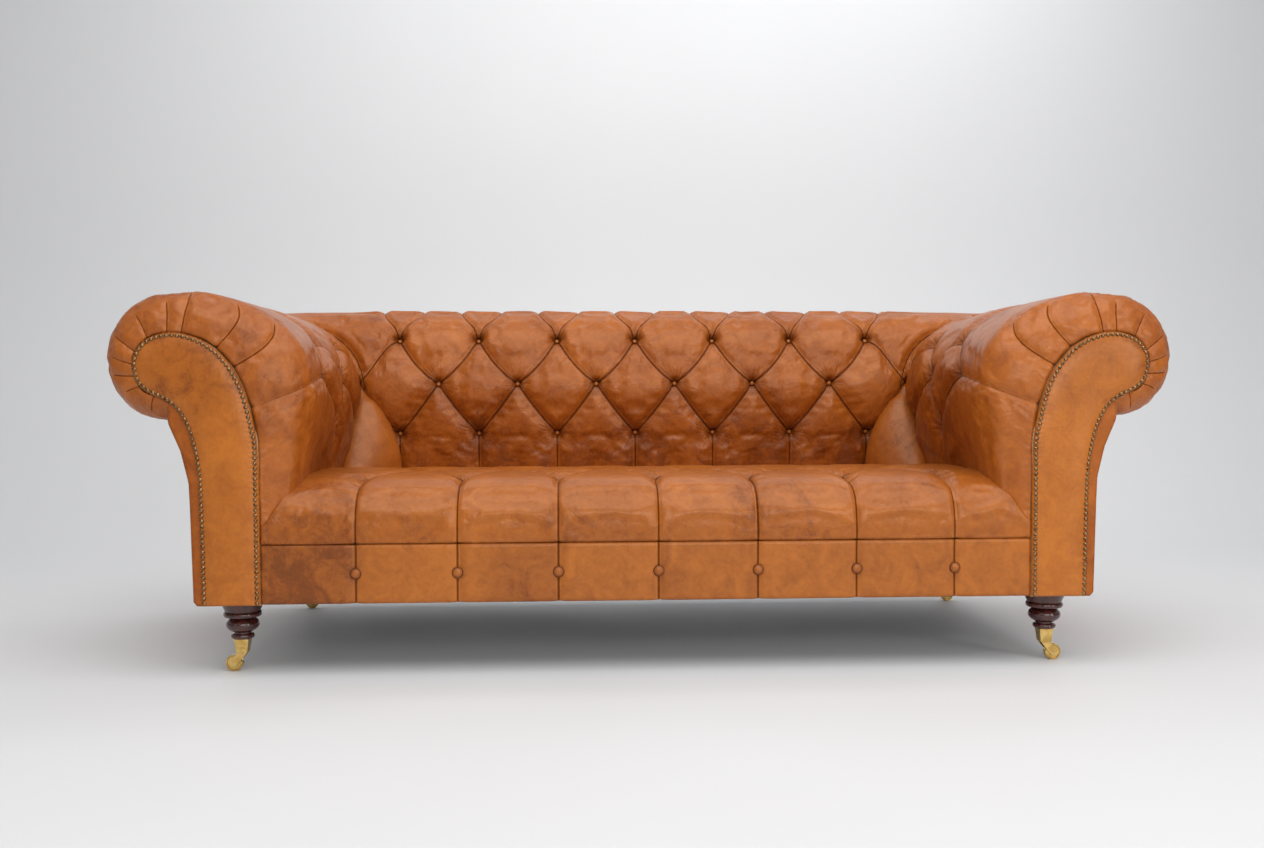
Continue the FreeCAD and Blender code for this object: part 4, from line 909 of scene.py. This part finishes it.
def side_surface(side):
    """The outside of an arm: a from the facing round the front corner to the rear, b upwards."""
    def place(a, b):
        front = np.clip(a / WRAP, 0, 1)
        corner = np.clip((a - WRAP) / (WRAP_ROUND * math.pi / 2), 0, 1) * math.pi / 2
        back = np.clip(a - WRAP - WRAP_ROUND * math.pi / 2, 0, 1)
        swelled = np.sqrt(1 - (1 - np.clip(back / ROUNDING, 0, 1)) ** 2)
        top = SIDE_TOP + (FRONT_TOP - SIDE_TOP) * (1 - swelled)
        top += CORNER_RISE * smooth_step((back - 0.69) / 0.11)
        z = BODY_BOTTOM + PANEL_LIFT + b * (top - BODY_BOTTOM)
        wide = flare_x(z)
        start = facing_edge_x(z) - 0.003
        x = start + (wide - WRAP_ROUND - start) * front + WRAP_ROUND * np.sin(corner)
        y = WRAP_Y + WRAP_ROUND * (1 - np.cos(corner)) + back
        full = PANEL_FULL * np.sin(np.clip((y + 0.43) / 0.81, 0, 1) * math.pi) * np.sin(b * math.pi)
        x = x + full - REAR_ROUND * quarter((y - REAR_Y) / REAR_ROUND + 1) - foot_round(b)
        return np.stack([side * x, y, z], axis=-1)
    return place


SIDE_LONG = WRAP + WRAP_ROUND * (math.pi / 2 - 1) + REAR_Y - WRAP_Y


def rear_surface(a, b):
    """The outside of the back: its sides follow the flare, and its top meets the roll."""
    wide = np.clip(np.abs(a), 0, 1)
    top = REAR_TOP + REAR_RISE * smooth_step((wide - 0.84) / 0.15)
    z = BODY_BOTTOM + PANEL_LIFT + b * (top - BODY_BOTTOM)
    x = np.sign(a) * (flare_x(z) - 0.004) * wide
    full = PANEL_FULL * np.cos(a * math.pi / 2) * np.sin(b * math.pi)
    y = REAR_Y + full - foot_round(b) - 0.014 * quarter((wide - 0.985) / 0.015)
    return np.stack([x, y, z], axis=-1)


side_hide = Hide((0.0, SIDE_LONG), (0.0, 1.0), np.array([0.006, 0.018]))
outside = {name: upholstered(f"outside_arm_leather_{name}", side_hide, side_surface(side), flip=side < 0)
           for name, side in SIDES.items()}
rear_hide = Hide((-1.0, 1.0), (0.0, 1.0), np.array([0.008, 0.02]))
rear = upholstered("outside_back_leather", rear_hide, rear_surface, flip=True)

# %% [markdown]
# Covered buttons: a disc of hide drawn over a metal shell. A ball is flattened into a dome with
# a shallow groove inside its rim, if it is one of the border's, and each one sits square on its
# tuft. The back's top row is drawn in a little deeper than the rest.

# %% Buttons
SUNK, SHELL, GROOVE_AT, GROOVE_WIDE = 0.001, 0.002, 0.66, 0.10
TUFT_BUTTON, BORDER_BUTTON = (0.0075, 0.005, 0.0), (0.0115, 0.0042, 0.0016)


def dome(bm, place, way, radius, high, groove):
    """One covered button at a place, facing a way."""
    ball = bmesh.ops.create_uvsphere(bm, u_segments=28, v_segments=16, radius=1)["verts"]
    turn = Vector((0, 0, 1)).rotation_difference(Vector(way))
    mark = bm.verts.layers.float["fold"]
    for vertex in ball:
        x, y, z = vertex.co
        out = math.hypot(x, y)
        from_ring = abs(out - GROOVE_AT)
        lift = z * high - math.exp(-(from_ring / GROOVE_WIDE) ** 2) * groove if z > 0 else z * SHELL
        # Painted shade: the fold value falls to nothing at the rim and, on the border's buttons, is small in
        # the groove, so the leather paints a dark line of contact shade there, with a lighter painted
        # highlight inside it.
        vertex[mark] = min(from_ring * radius + 0.0014 if groove else 0.02, (1 - out) * radius * 0.8)
        vertex.co = turn @ Vector((x * radius, y * radius, lift)) + Vector(place)


def buttons(name, places, radius, high, groove):
    """All the buttons of one node."""
    bm = bmesh.new()
    bm.verts.layers.float.new("fold")
    for place, way in places:
        dome(bm, place, way, radius, high, groove)
    return made(name, bm)


def tuft_seats(surface, hide, flats, depth, flip=False):
    """Where a hide's buttons sit, and the way they face."""
    crown, normal = crown_and_normal(surface, np.array(flats), hide.low, hide.high, flip)
    return [(tuple(c - n * (depth - SUNK)), tuple(n)) for c, n in zip(crown, normal)]


# %% The four sets of buttons
TOP_ROW_SUNK = 0.003
back_seats = tuft_seats(back_surface, back_hide, low_row + mid_row[1:-1], TUFT_DEPTH)
back_seats += tuft_seats(back_surface, back_hide, top_row, TUFT_DEPTH + TOP_ROW_SUNK)
arm_seats = []
for side in SIDES.values():
    arm_seats += tuft_seats(arm_surface(side), arm_hide, arm_tufts, TUFT_DEPTH, side > 0)
seat_seats = tuft_seats(seat_surface, seat_hide, sum(seat_rows, []), SEAT_TUFT)
border_seats = [((x, BORDER_FACE + 0.0005, BUTTON_ROW), (0, -1, 0)) for x in PLEAT_X]
button_sets = {
    "back_buttons": buttons("back_button_covers", back_seats, *TUFT_BUTTON),
    "arm_buttons": buttons("arm_button_covers", arm_seats, *TUFT_BUTTON),
    "seat_buttons": buttons("seat_button_covers", seat_seats, *TUFT_BUTTON),
    "border_buttons": buttons("border_button_covers", border_seats, *BORDER_BUTTON),
}
print("buttons", len(back_seats), len(arm_seats), len(seat_seats), len(border_seats))

# %% [markdown]
# Leather is the finish that carries this piece. The hide is mottled from its pull-up wax, has
# painted shade along its folds and a fine grain that only shows close by. The colours, the grain
# and the fold lines are each a node group, so that every leather piece can use them with
# values of its own.

# %% Node helpers
def new_group(name, inputs, outputs):
    """A node group with named sockets."""
    group = bpy.data.node_groups.new(name, "ShaderNodeTree")
    for label, kind, value in inputs:
        socket = group.interface.new_socket(label, in_out="INPUT", socket_type=kind)
        if value is not None:
            socket.default_value = value
    for label, kind in outputs:
        group.interface.new_socket(label, in_out="OUTPUT", socket_type=kind)
    return group, group.nodes.new("NodeGroupInput"), group.nodes.new("NodeGroupOutput")


class Bench:
    """Short ways to add and join nodes in one tree."""

    def __init__(self, tree):
        self.tree = tree

    def add(self, kind, **settings):
        node = self.tree.nodes.new(kind)
        for key, value in settings.items():
            setattr(node, key, value)
        return node

    def feed(self, socket, value):
        if isinstance(value, bpy.types.NodeSocket):
            self.tree.links.new(value, socket)
        else:
            socket.default_value = value

    def times(self, *values):
        return self.math("MULTIPLY", *values)

    def math(self, operation, *values):
        node = self.add("ShaderNodeMath", operation=operation)
        for socket, value in zip(node.inputs, values):
            self.feed(socket, value)
        return node.outputs[0]

    def noise(self, vector, scale, detail=2.0, roughness=0.5, distortion=0.0):
        node = self.add("ShaderNodeTexNoise")
        self.feed(node.inputs["Vector"], vector)
        self.feed(node.inputs["Scale"], scale)
        node.inputs["Detail"].default_value = detail
        node.inputs["Roughness"].default_value = roughness
        node.inputs["Distortion"].default_value = distortion
        return node.outputs["Fac"]

    def ramp(self, value, low, high, out_low=0.0, out_high=1.0, smooth=True):
        node = self.add("ShaderNodeMapRange", interpolation_type="SMOOTHSTEP" if smooth else "LINEAR")
        for label, number in (("Value", value), ("From Min", low), ("From Max", high),
                              ("To Min", out_low), ("To Max", out_high)):
            self.feed(node.inputs[label], number)
        return node.outputs["Result"]

    def mix(self, share, first, second, blend="MIX"):
        node = self.add("ShaderNodeMix", data_type="RGBA", blend_type=blend)
        self.feed(node.inputs[0], share)
        self.feed(node.inputs[6], first)
        self.feed(node.inputs[7], second)
        return node.outputs[2]

    def bump(self, height, strength, distance, normal=None):
        node = self.add("ShaderNodeBump")
        self.feed(node.inputs["Height"], height)
        self.feed(node.inputs["Strength"], strength)
        self.feed(node.inputs["Distance"], distance)
        if normal is not None:
            self.feed(node.inputs["Normal"], normal)
        return node.outputs["Normal"]


# %% [markdown]
# The hide's colour is one share between two tans, taken from noise at three sizes and shifted
# by the piece's tone, which on the back, arms, seat and facings carries painted shade. It is then
# darkened where it is worn and where that tone is low, and painted shade darkens it where it dips
# towards a button and along each fold. A painted highlight runs beside each fold's dark line.

# %% The hide's colour
def hide_colour_group():
    """Mottled hide: broad clouds, patches, small marks, then painted shade in its folds and dips and a
    painted highlight beside each fold.
    """
    group, given, result = new_group("hide_colour", [
        ("Position", "NodeSocketVector", None), ("Light", "NodeSocketColor", (0.5, 0.2, 0.06, 1)),
        ("Middle", "NodeSocketColor", (0.36, 0.13, 0.035, 1)),
        ("Dark", "NodeSocketColor", (0.13, 0.035, 0.01, 1)),
        ("Tone and shade", "NodeSocketFloat", 0.5), ("Fold", "NodeSocketFloat", 0.05), ("Dip", "NodeSocketFloat", 0.0)],
        [("Color", "NodeSocketColor"), ("Mottle", "NodeSocketFloat")])
    b = Bench(group)
    at = given.outputs["Position"]
    clouds = b.noise(at, 4.0, 3.0, 0.55, 0.4)
    patches = b.noise(at, 19.0, 5.0, 0.62, 1.2)
    marks = b.noise(at, 130.0, 4.0, 0.7, 0.4)
    mottle = b.math("ADD", b.times(clouds, 0.36), b.times(patches, 0.40))
    mottle = b.math("ADD", mottle, b.times(marks, 0.24))
    # The tone adds in here; where it carries painted shade, this darkening is painted shade as well as wear.
    toned_and_shaded = b.math("ADD", mottle, b.math("SUBTRACT", given.outputs["Tone and shade"], 0.5))
    colour = b.mix(b.ramp(toned_and_shaded, 0.38, 0.62, smooth=False), given.outputs["Middle"], given.outputs["Light"])
    worn_and_shaded = b.ramp(toned_and_shaded, 0.30, 0.44, 1.0, 0.0)
    colour = b.mix(b.times(worn_and_shaded, 0.45), colour, given.outputs["Dark"])
    scratch = b.noise(at, 60.0, 2.0, 0.5, 6.0)
    scratch = b.times(b.ramp(scratch, 0.485, 0.5), b.ramp(scratch, 0.5, 0.515, 1.0, 0.0))
    scratch = b.times(scratch, b.ramp(patches, 0.48, 0.62))
    colour = b.mix(b.times(scratch, 0.30), colour, given.outputs["Light"])
    # Painted shade where the hide dips towards a button.
    dip_shade = b.ramp(given.outputs["Dip"], 0.004, 0.026)
    colour = b.mix(b.times(dip_shade, 0.62), colour, given.outputs["Dark"])
    # Painted shade: a dark line along each fold.
    line = b.ramp(given.outputs["Fold"], 0.0004, 0.0030, 1.0, 0.0)
    colour = b.mix(b.times(line, 0.80), colour, given.outputs["Dark"])
    # Painted highlight: a light line beside each fold's dark line, where the folded edge would catch the
    # light.
    fold_edge_highlight = b.times(b.ramp(given.outputs["Fold"], 0.0026, 0.0042),
                    b.ramp(given.outputs["Fold"], 0.0048, 0.0085, 1.0, 0.0))
    colour = b.mix(b.times(fold_edge_highlight, 0.28), colour, given.outputs["Light"])
    b.feed(result.inputs["Color"], colour)
    b.feed(result.inputs["Mottle"], mottle)
    return group


# %% [markdown]
# The relief is only what is too small to model: the stitch-fine line of a fold, the puckers
# that radiate from a button, soft creasing and the grain. Four bumps in a row add them up.

# %% The hide's relief
def hide_relief_group():
    """Grain, soft creasing, the fold's own line and the puckers round each button, as a normal."""
    group, given, result = new_group("hide_relief", [
        ("Position", "NodeSocketVector", None), ("Fold", "NodeSocketFloat", 0.05),
        ("Tuft", "NodeSocketVector", (0.1, 0.1, 0.1)), ("Creasing", "NodeSocketFloat", 1.0)],
        [("Normal", "NodeSocketVector")])
    b = Bench(group)
    at = given.outputs["Position"]
    parts = b.add("ShaderNodeSeparateXYZ")
    b.feed(parts.inputs[0], given.outputs["Tuft"])
    x, y, away = parts.outputs
    over = b.math("MAXIMUM", away, 0.002)
    fan = b.add("ShaderNodeCombineXYZ")
    b.feed(fan.inputs[0], b.times(b.math("DIVIDE", x, over), 3.4))
    b.feed(fan.inputs[1], b.times(b.math("DIVIDE", y, over), 3.4))
    b.feed(fan.inputs[2], b.times(away, 9.0))
    pucker = b.noise(fan.outputs[0], 1.9, 2.0, 0.6)
    above = b.ramp(b.math("DIVIDE", y, over), -0.4, 0.9, 0.35, 1.0)
    pull = b.times(b.ramp(away, 0.006, 0.014), b.ramp(away, 0.022, 0.070, 1.0, 0.0))
    pucker = b.times(b.times(pucker, pull), above)
    creasing = b.times(b.noise(at, 26.0, 3.0, 0.6, 1.2), given.outputs["Creasing"])
    cells = b.add("ShaderNodeTexVoronoi", feature="SMOOTH_F1")
    b.feed(cells.inputs["Vector"], at)
    cells.inputs["Scale"].default_value = 420.0
    line = b.ramp(given.outputs["Fold"], 0.0, 0.0032)
    normal = b.bump(line, 0.9, 0.0026)
    normal = b.bump(pucker, 0.8, 0.0075, normal)
    normal = b.bump(creasing, 0.35, 0.0050, normal)
    normal = b.bump(cells.outputs["Distance"], 0.10, 0.0006, normal)
    b.feed(result.inputs["Normal"], normal)
    return group


HIDE_COLOUR, HIDE_RELIEF = hide_colour_group(), hide_relief_group()
print("node groups", HIDE_COLOUR.name, HIDE_RELIEF.name)

# %% [markdown]
# Each leather is a Principled shader that takes its colour and its relief from the two groups.
# A waxed hide has a satin gloss with warm highlights, and its gloss varies with its mottling,
# so the roughness follows the same noise as the colour.

# %% Leather
def new_material(name):
    """A material, its bench, its shader and the object's own coordinates."""
    material = bpy.data.materials.new(name)
    material.use_nodes = True
    tree = material.node_tree
    tree.nodes.clear()
    b = Bench(tree)
    shader = b.add("ShaderNodeBsdfPrincipled")
    output = b.add("ShaderNodeOutputMaterial")
    tree.links.new(shader.outputs[0], output.inputs["Surface"])
    return material, b, shader, b.add("ShaderNodeTexCoord").outputs["Object"]


def attribute(b, name, kind="Fac"):
    """A value that a mesh carries at each vertex."""
    return b.add("ShaderNodeAttribute", attribute_name=name).outputs[kind]


HIGHLIGHT = (1.0, 0.84, 0.66, 1)


def leather(name, light, middle, marks=("fold", "tone"), creasing=1.0, rough=(0.27, 0.42), gloss=0.52):
    """Waxed hide with values of its own; marks names what the mesh says of folds and of its tone, which on
    some pieces carries painted shade.
    """
    material, b, shader, at = new_material(name)
    colour = b.add("ShaderNodeGroup", node_tree=HIDE_COLOUR)
    relief = b.add("ShaderNodeGroup", node_tree=HIDE_RELIEF)
    for group in (colour, relief):
        b.feed(group.inputs["Position"], at)
    for label, value in (("Light", light), ("Middle", middle), ("Dark", DARK)):
        colour.inputs[label].default_value = (*value, 1)
    if "tone" in marks:
        b.feed(colour.inputs["Tone and shade"], attribute(b, "tone"))
    relief.inputs["Creasing"].default_value = creasing
    if "fold" in marks:
        distance = attribute(b, "fold")
        b.feed(colour.inputs["Fold"], distance)
        b.feed(relief.inputs["Fold"], distance)
        b.feed(colour.inputs["Dip"], attribute(b, "dip"))
        b.feed(relief.inputs["Tuft"], attribute(b, "tuft", "Vector"))
    b.feed(shader.inputs["Base Color"], colour.outputs["Color"])
    b.feed(shader.inputs["Normal"], relief.outputs["Normal"])
    b.feed(shader.inputs["Roughness"],
           b.ramp(colour.outputs["Mottle"], 0.35, 0.65, rough[1], rough[0], False))
    shader.inputs["Specular IOR Level"].default_value = gloss
    shader.inputs["Specular Tint"].default_value = HIGHLIGHT
    return material


# %% Leather finishes
LIGHT, MIDDLE, DARK = (0.430, 0.116, 0.013), (0.258, 0.056, 0.005), (0.075, 0.012, 0.002)
body_leather = leather("body_leather", LIGHT, MIDDLE)
seat_leather = leather("seat_hide", (0.45, 0.128, 0.015), (0.28, 0.067, 0.006))
border_leather = leather("border_hide", (0.44, 0.128, 0.016), (0.24, 0.058, 0.006))
facing_leather = leather("facing_hide", (0.49, 0.146, 0.016), (0.31, 0.077, 0.006), creasing=0.5)
gusset_leather = leather("gusset_hide", (0.43, 0.122, 0.016), (0.27, 0.066, 0.007), marks=(), creasing=0.6)
outside_leather = leather("outside_hide", LIGHT, MIDDLE, marks=(), creasing=0.7, rough=(0.42, 0.56),
                          gloss=0.35)
button_leather = leather("button_hide", (0.40, 0.118, 0.020), (0.25, 0.060, 0.008), marks=("fold",),
                         creasing=0.2)

# %% [markdown]
# Now the back, the seat and the arms settle, and each sheet gets its leather and its wadding
# and takes the place of the plain solid that stood for it in the frame. Pads and the border say
# how full they are.

# %% The leather goes on
SETTLING = ((back, 0.028, 0.0032), (seat, 0.018, 0.0022), (arms["left"], 0.026, 0.003),
            (arms["right"], 0.026, 0.003))
for piece, slack, cap in SETTLING:
    settled(piece, slack, cap)

# Each sheet: the solid it stands for, its slot, its leather and how thick its wadding is
SHEETS = [(back, "back_pad", "leather", body_leather, 0.012),
          (seat, "seat_pad", "leather", seat_leather, 0.012),
          (border, "front_border", "border_leather", border_leather, 0.010),
          (rear, "outside_back_panel", "leather", outside_leather, 0.004)]
for name in SIDES:
    SHEETS += [(arms[name], f"arm_pad_{name}", "leather", body_leather, 0.012),
               (gussets[name], f"corner_gusset_{name}", "gusset_leather", gusset_leather, 0.010),
               (facings[name], f"facing_cover_{name}", "facing_leather", facing_leather, 0.004),
               (outside[name], f"outside_arm_panel_{name}", "leather", outside_leather, 0.004)]
for piece, stands_for, slot, material, thick in SHEETS:
    piece.data.materials.append(material)
    lined(piece, thick)
    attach(piece, "sofa")
    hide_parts(stands_for)
for node, piece in button_sets.items():
    piece.data.materials.append(button_leather)
    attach(piece, "sofa")
    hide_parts(node)
print("leather on", len(SHEETS), "sheets and", len(button_sets), "sets of buttons")

# %% [markdown]
# The parts that are not leather keep the frame's own meshes and get finishes from these
# functions: turned and polished mahogany, brass cast and polished, nails with an antique patina,
# and the plain timber, steel, webbing and cloths of the frame inside.

# %% Other finishes
def plain(name, light, dark, scale, rough, metallic=0.0, bump=0.0, stretch=(1, 1, 1), coat=0.0):
    """A finish of two colours in a noise, drawn out along one way if it is stretched."""
    material, b, shader, at = new_material(name)
    mapped = b.add("ShaderNodeMapping")
    b.feed(mapped.inputs["Vector"], at)
    mapped.inputs["Scale"].default_value = stretch
    grain = b.noise(mapped.outputs["Vector"], scale, 5.0, 0.6, 0.6)
    share = b.ramp(grain, 0.35, 0.65)
    b.feed(shader.inputs["Base Color"], b.mix(share, (*dark, 1), (*light, 1)))
    b.feed(shader.inputs["Roughness"], b.ramp(grain, 0.3, 0.7, rough[0], rough[1]))
    shader.inputs["Metallic"].default_value = metallic
    shader.inputs["Coat Weight"].default_value = coat
    shader.inputs["Coat Roughness"].default_value = 0.08
    if bump:
        b.feed(shader.inputs["Normal"], b.bump(grain, 0.3, bump))
    return material


def woven(name, light, dark, pitch, rough=0.85):
    """A plain weave: two sets of ribs that cross."""
    material, b, shader, at = new_material(name)
    parts = b.add("ShaderNodeSeparateXYZ")
    b.feed(parts.inputs[0], at)
    waves = [b.math("SINE", b.times(axis, 2 * math.pi / pitch)) for axis in parts.outputs]
    cross = b.times(b.math("ADD", waves[0], waves[2]), waves[1])
    dirt = b.noise(at, 18.0, 4.0)
    share = b.ramp(b.math("ADD", b.times(cross, 0.25), dirt), 0.2, 0.8)
    b.feed(shader.inputs["Base Color"], b.mix(share, (*dark, 1), (*light, 1)))
    b.feed(shader.inputs["Normal"], b.bump(cross, 0.5, 0.0004))
    b.feed(shader.inputs["Roughness"], b.ramp(dirt, 0.3, 0.7, rough - 0.08, rough))
    return material


FINISHES = {
    "timber": plain("beech", (0.55, 0.38, 0.22), (0.36, 0.22, 0.11), 14, (0.45, 0.6), bump=0.0004,
                    stretch=(1, 8, 8)),
    "spring_steel": plain("spring_steel", (0.50, 0.48, 0.45), (0.25, 0.20, 0.16), 60, (0.3, 0.5), 1.0),
    "webbing": woven("webbing", (0.40, 0.32, 0.22), (0.18, 0.13, 0.08), 0.004),
    "hessian": woven("hessian", (0.45, 0.34, 0.20), (0.22, 0.15, 0.08), 0.003),
    "dust_cloth": woven("dust_cloth", (0.035, 0.033, 0.031), (0.015, 0.014, 0.013), 0.0015),
    "antique_nails": plain("antique_nails", (0.42, 0.25, 0.12), (0.085, 0.042, 0.018), 320, (0.24, 0.42), 1.0,
                           bump=0.0003),
    "castor_brass": plain("polished_brass", (0.80, 0.56, 0.20), (0.58, 0.36, 0.10), 60, (0.10, 0.22), 1.0),
    "axle_brass": plain("axle_brass", (0.75, 0.53, 0.22), (0.55, 0.36, 0.13), 60, (0.16, 0.30), 1.0),
    "mahogany": plain("mahogany", (0.075, 0.014, 0.008), (0.036, 0.007, 0.005), 30, (0.18, 0.26),
                      stretch=(3, 3, 0.4), coat=0.5),
}
HIDES = {"leather": outside_leather, "gusset_leather": gusset_leather, "facing_leather": facing_leather,
         "border_leather": border_leather, "button_leather": button_leather}
SLOTS = {entry["node"]: entry["material_slot"] for entry in frame["record"]["subparts"]}
for name, node in nodes.items():
    node.data.materials.clear()
    node.data.materials.append({**FINISHES, **HIDES}[SLOTS[name]])
print("finishes on", len(nodes), "nodes of the frame")

# %% [markdown]
# The camera stands where it was fitted to about forty points of the picture: a little left of
# the middle, low, at about the height of the seat's back tufts, and so near that the arms splay
# outwards.

# %% Camera
LENS_PIXELS, FRAME_WIDE = 1164.9, 1264
EYE = (-0.1505, -2.7803, 0.5609)
YAW, PITCH_DOWN, ROLL = 0.0476, 0.0249, 0.0035
lens = bpy.data.cameras.new("camera")
lens.sensor_width = 36
lens.lens = LENS_PIXELS / FRAME_WIDE * lens.sensor_width
camera = bpy.data.objects.new("camera", lens)
camera.location = EYE
camera.rotation_euler = (math.pi / 2 - PITCH_DOWN, ROLL, -YAW)
bpy.context.scene.collection.objects.link(camera)
bpy.context.scene.camera = camera
print("lens %.2f mm" % lens.lens)

# %% [markdown]
# The studio is one sheet of pale paper that runs along the floor and sweeps up into the wall,
# so that no corner shows. It is a grid whose rows are laid along that bent line. The paper has
# no back: a camera behind the wall still sees the sofa.

# %% The studio's paper
WALL_Y, SWEEP, PAPER_WIDE, PAPER_LONG = 2.6, 1.3, 9, 8


def studio():
    """The floor and the wall in one sheet."""
    bm = bmesh.new()
    bmesh.ops.create_grid(bm, x_segments=2, y_segments=60, size=1)
    straight, arc = WALL_Y - SWEEP, SWEEP * math.pi / 2
    for vertex in bm.verts:
        length = vertex.co.y * PAPER_LONG
        angle = min(max(length - straight, 0) / SWEEP, math.pi / 2)
        y = min(length, straight) + SWEEP * math.sin(angle)
        z = SWEEP * (1 - math.cos(angle)) + max(length - straight - arc, 0)
        vertex.co = (vertex.co.x * PAPER_WIDE, y, z)
    floor = made("studio_floor", bm)
    material, b, shader, at = new_material("studio_paper")
    shader.inputs["Base Color"].default_value = (0.75, 0.755, 0.765, 1)
    b.feed(shader.inputs["Roughness"], b.ramp(b.noise(at, 2.0), 0.3, 0.7, 0.55, 0.65))
    seen = b.add("ShaderNodeMixShader")
    b.feed(seen.inputs[0], b.add("ShaderNodeNewGeometry").outputs["Backfacing"])
    b.feed(seen.inputs[1], shader.outputs[0])
    b.feed(seen.inputs[2], b.add("ShaderNodeBsdfTransparent").outputs[0])
    b.feed(material.node_tree.nodes["Material Output"].inputs["Surface"], seen.outputs[0])
    floor.data.materials.append(material)


studio()

# %% [markdown]
# Large, soft lights: one overhead and forward of the sofa, one behind the camera that fills the
# shadows, a narrow one at each side for the upright sheen on the arms, brighter on the right,
# and one on the wall. The ceiling is pale and the horizon dim, so that brass and waxed leather
# have something to mirror.

# %% The studio's lights
def soft_light(name, place, target, size, power):
    """A rectangular light that faces a target."""
    light = bpy.data.lights.new(name, "AREA")
    light.shape = "RECTANGLE"
    light.size, light.size_y = size
    light.energy = power
    lamp = bpy.data.objects.new(name, light)
    lamp.location = place
    lamp.rotation_euler = (Vector(target) - Vector(place)).to_track_quat("-Z", "Y").to_euler()
    bpy.context.scene.collection.objects.link(lamp)


# Each light: its name, place, target, size and power
LIGHTS = (("overhead", (0.2, -1.4, 2.9), (0, -0.2, 0.3), (4.2, 2.4), 68),
          ("front", (0.6, -4.2, 1.5), (0, 0, 0.3), (2.8, 1.2), 44),
          ("strip_left", (-3.1, -3.4, 1.4), (0, -0.2, 0.5), (0.8, 2.2), 4),
          ("strip_right", (3.1, -3.4, 1.4), (0, -0.2, 0.5), (0.8, 2.2), 26),
          ("backdrop", (0.3, 1.2, 3.2), (0, 2.6, 1.2), (4.0, 0.8), 30))
for light in LIGHTS:
    soft_light(*light)


def studio_world():
    """A pale ceiling that darkens towards the horizon, so that gloss has something to show."""
    world = bpy.data.worlds.new("studio_world")
    bpy.context.scene.world = world
    world.use_nodes = True
    b = Bench(world.node_tree)
    parts = b.add("ShaderNodeSeparateXYZ")
    b.feed(parts.inputs[0], b.add("ShaderNodeTexCoord").outputs["Generated"])
    background = world.node_tree.nodes["Background"]
    background.inputs["Color"].default_value = (1, 1, 1, 1)
    b.feed(background.inputs["Strength"], b.ramp(parts.outputs[2], -0.05, 0.55, 0.20, 0.44))


studio_world()
bpy.context.scene.view_settings.view_transform = "Standard"
print("lights", [light[0] for light in LIGHTS])
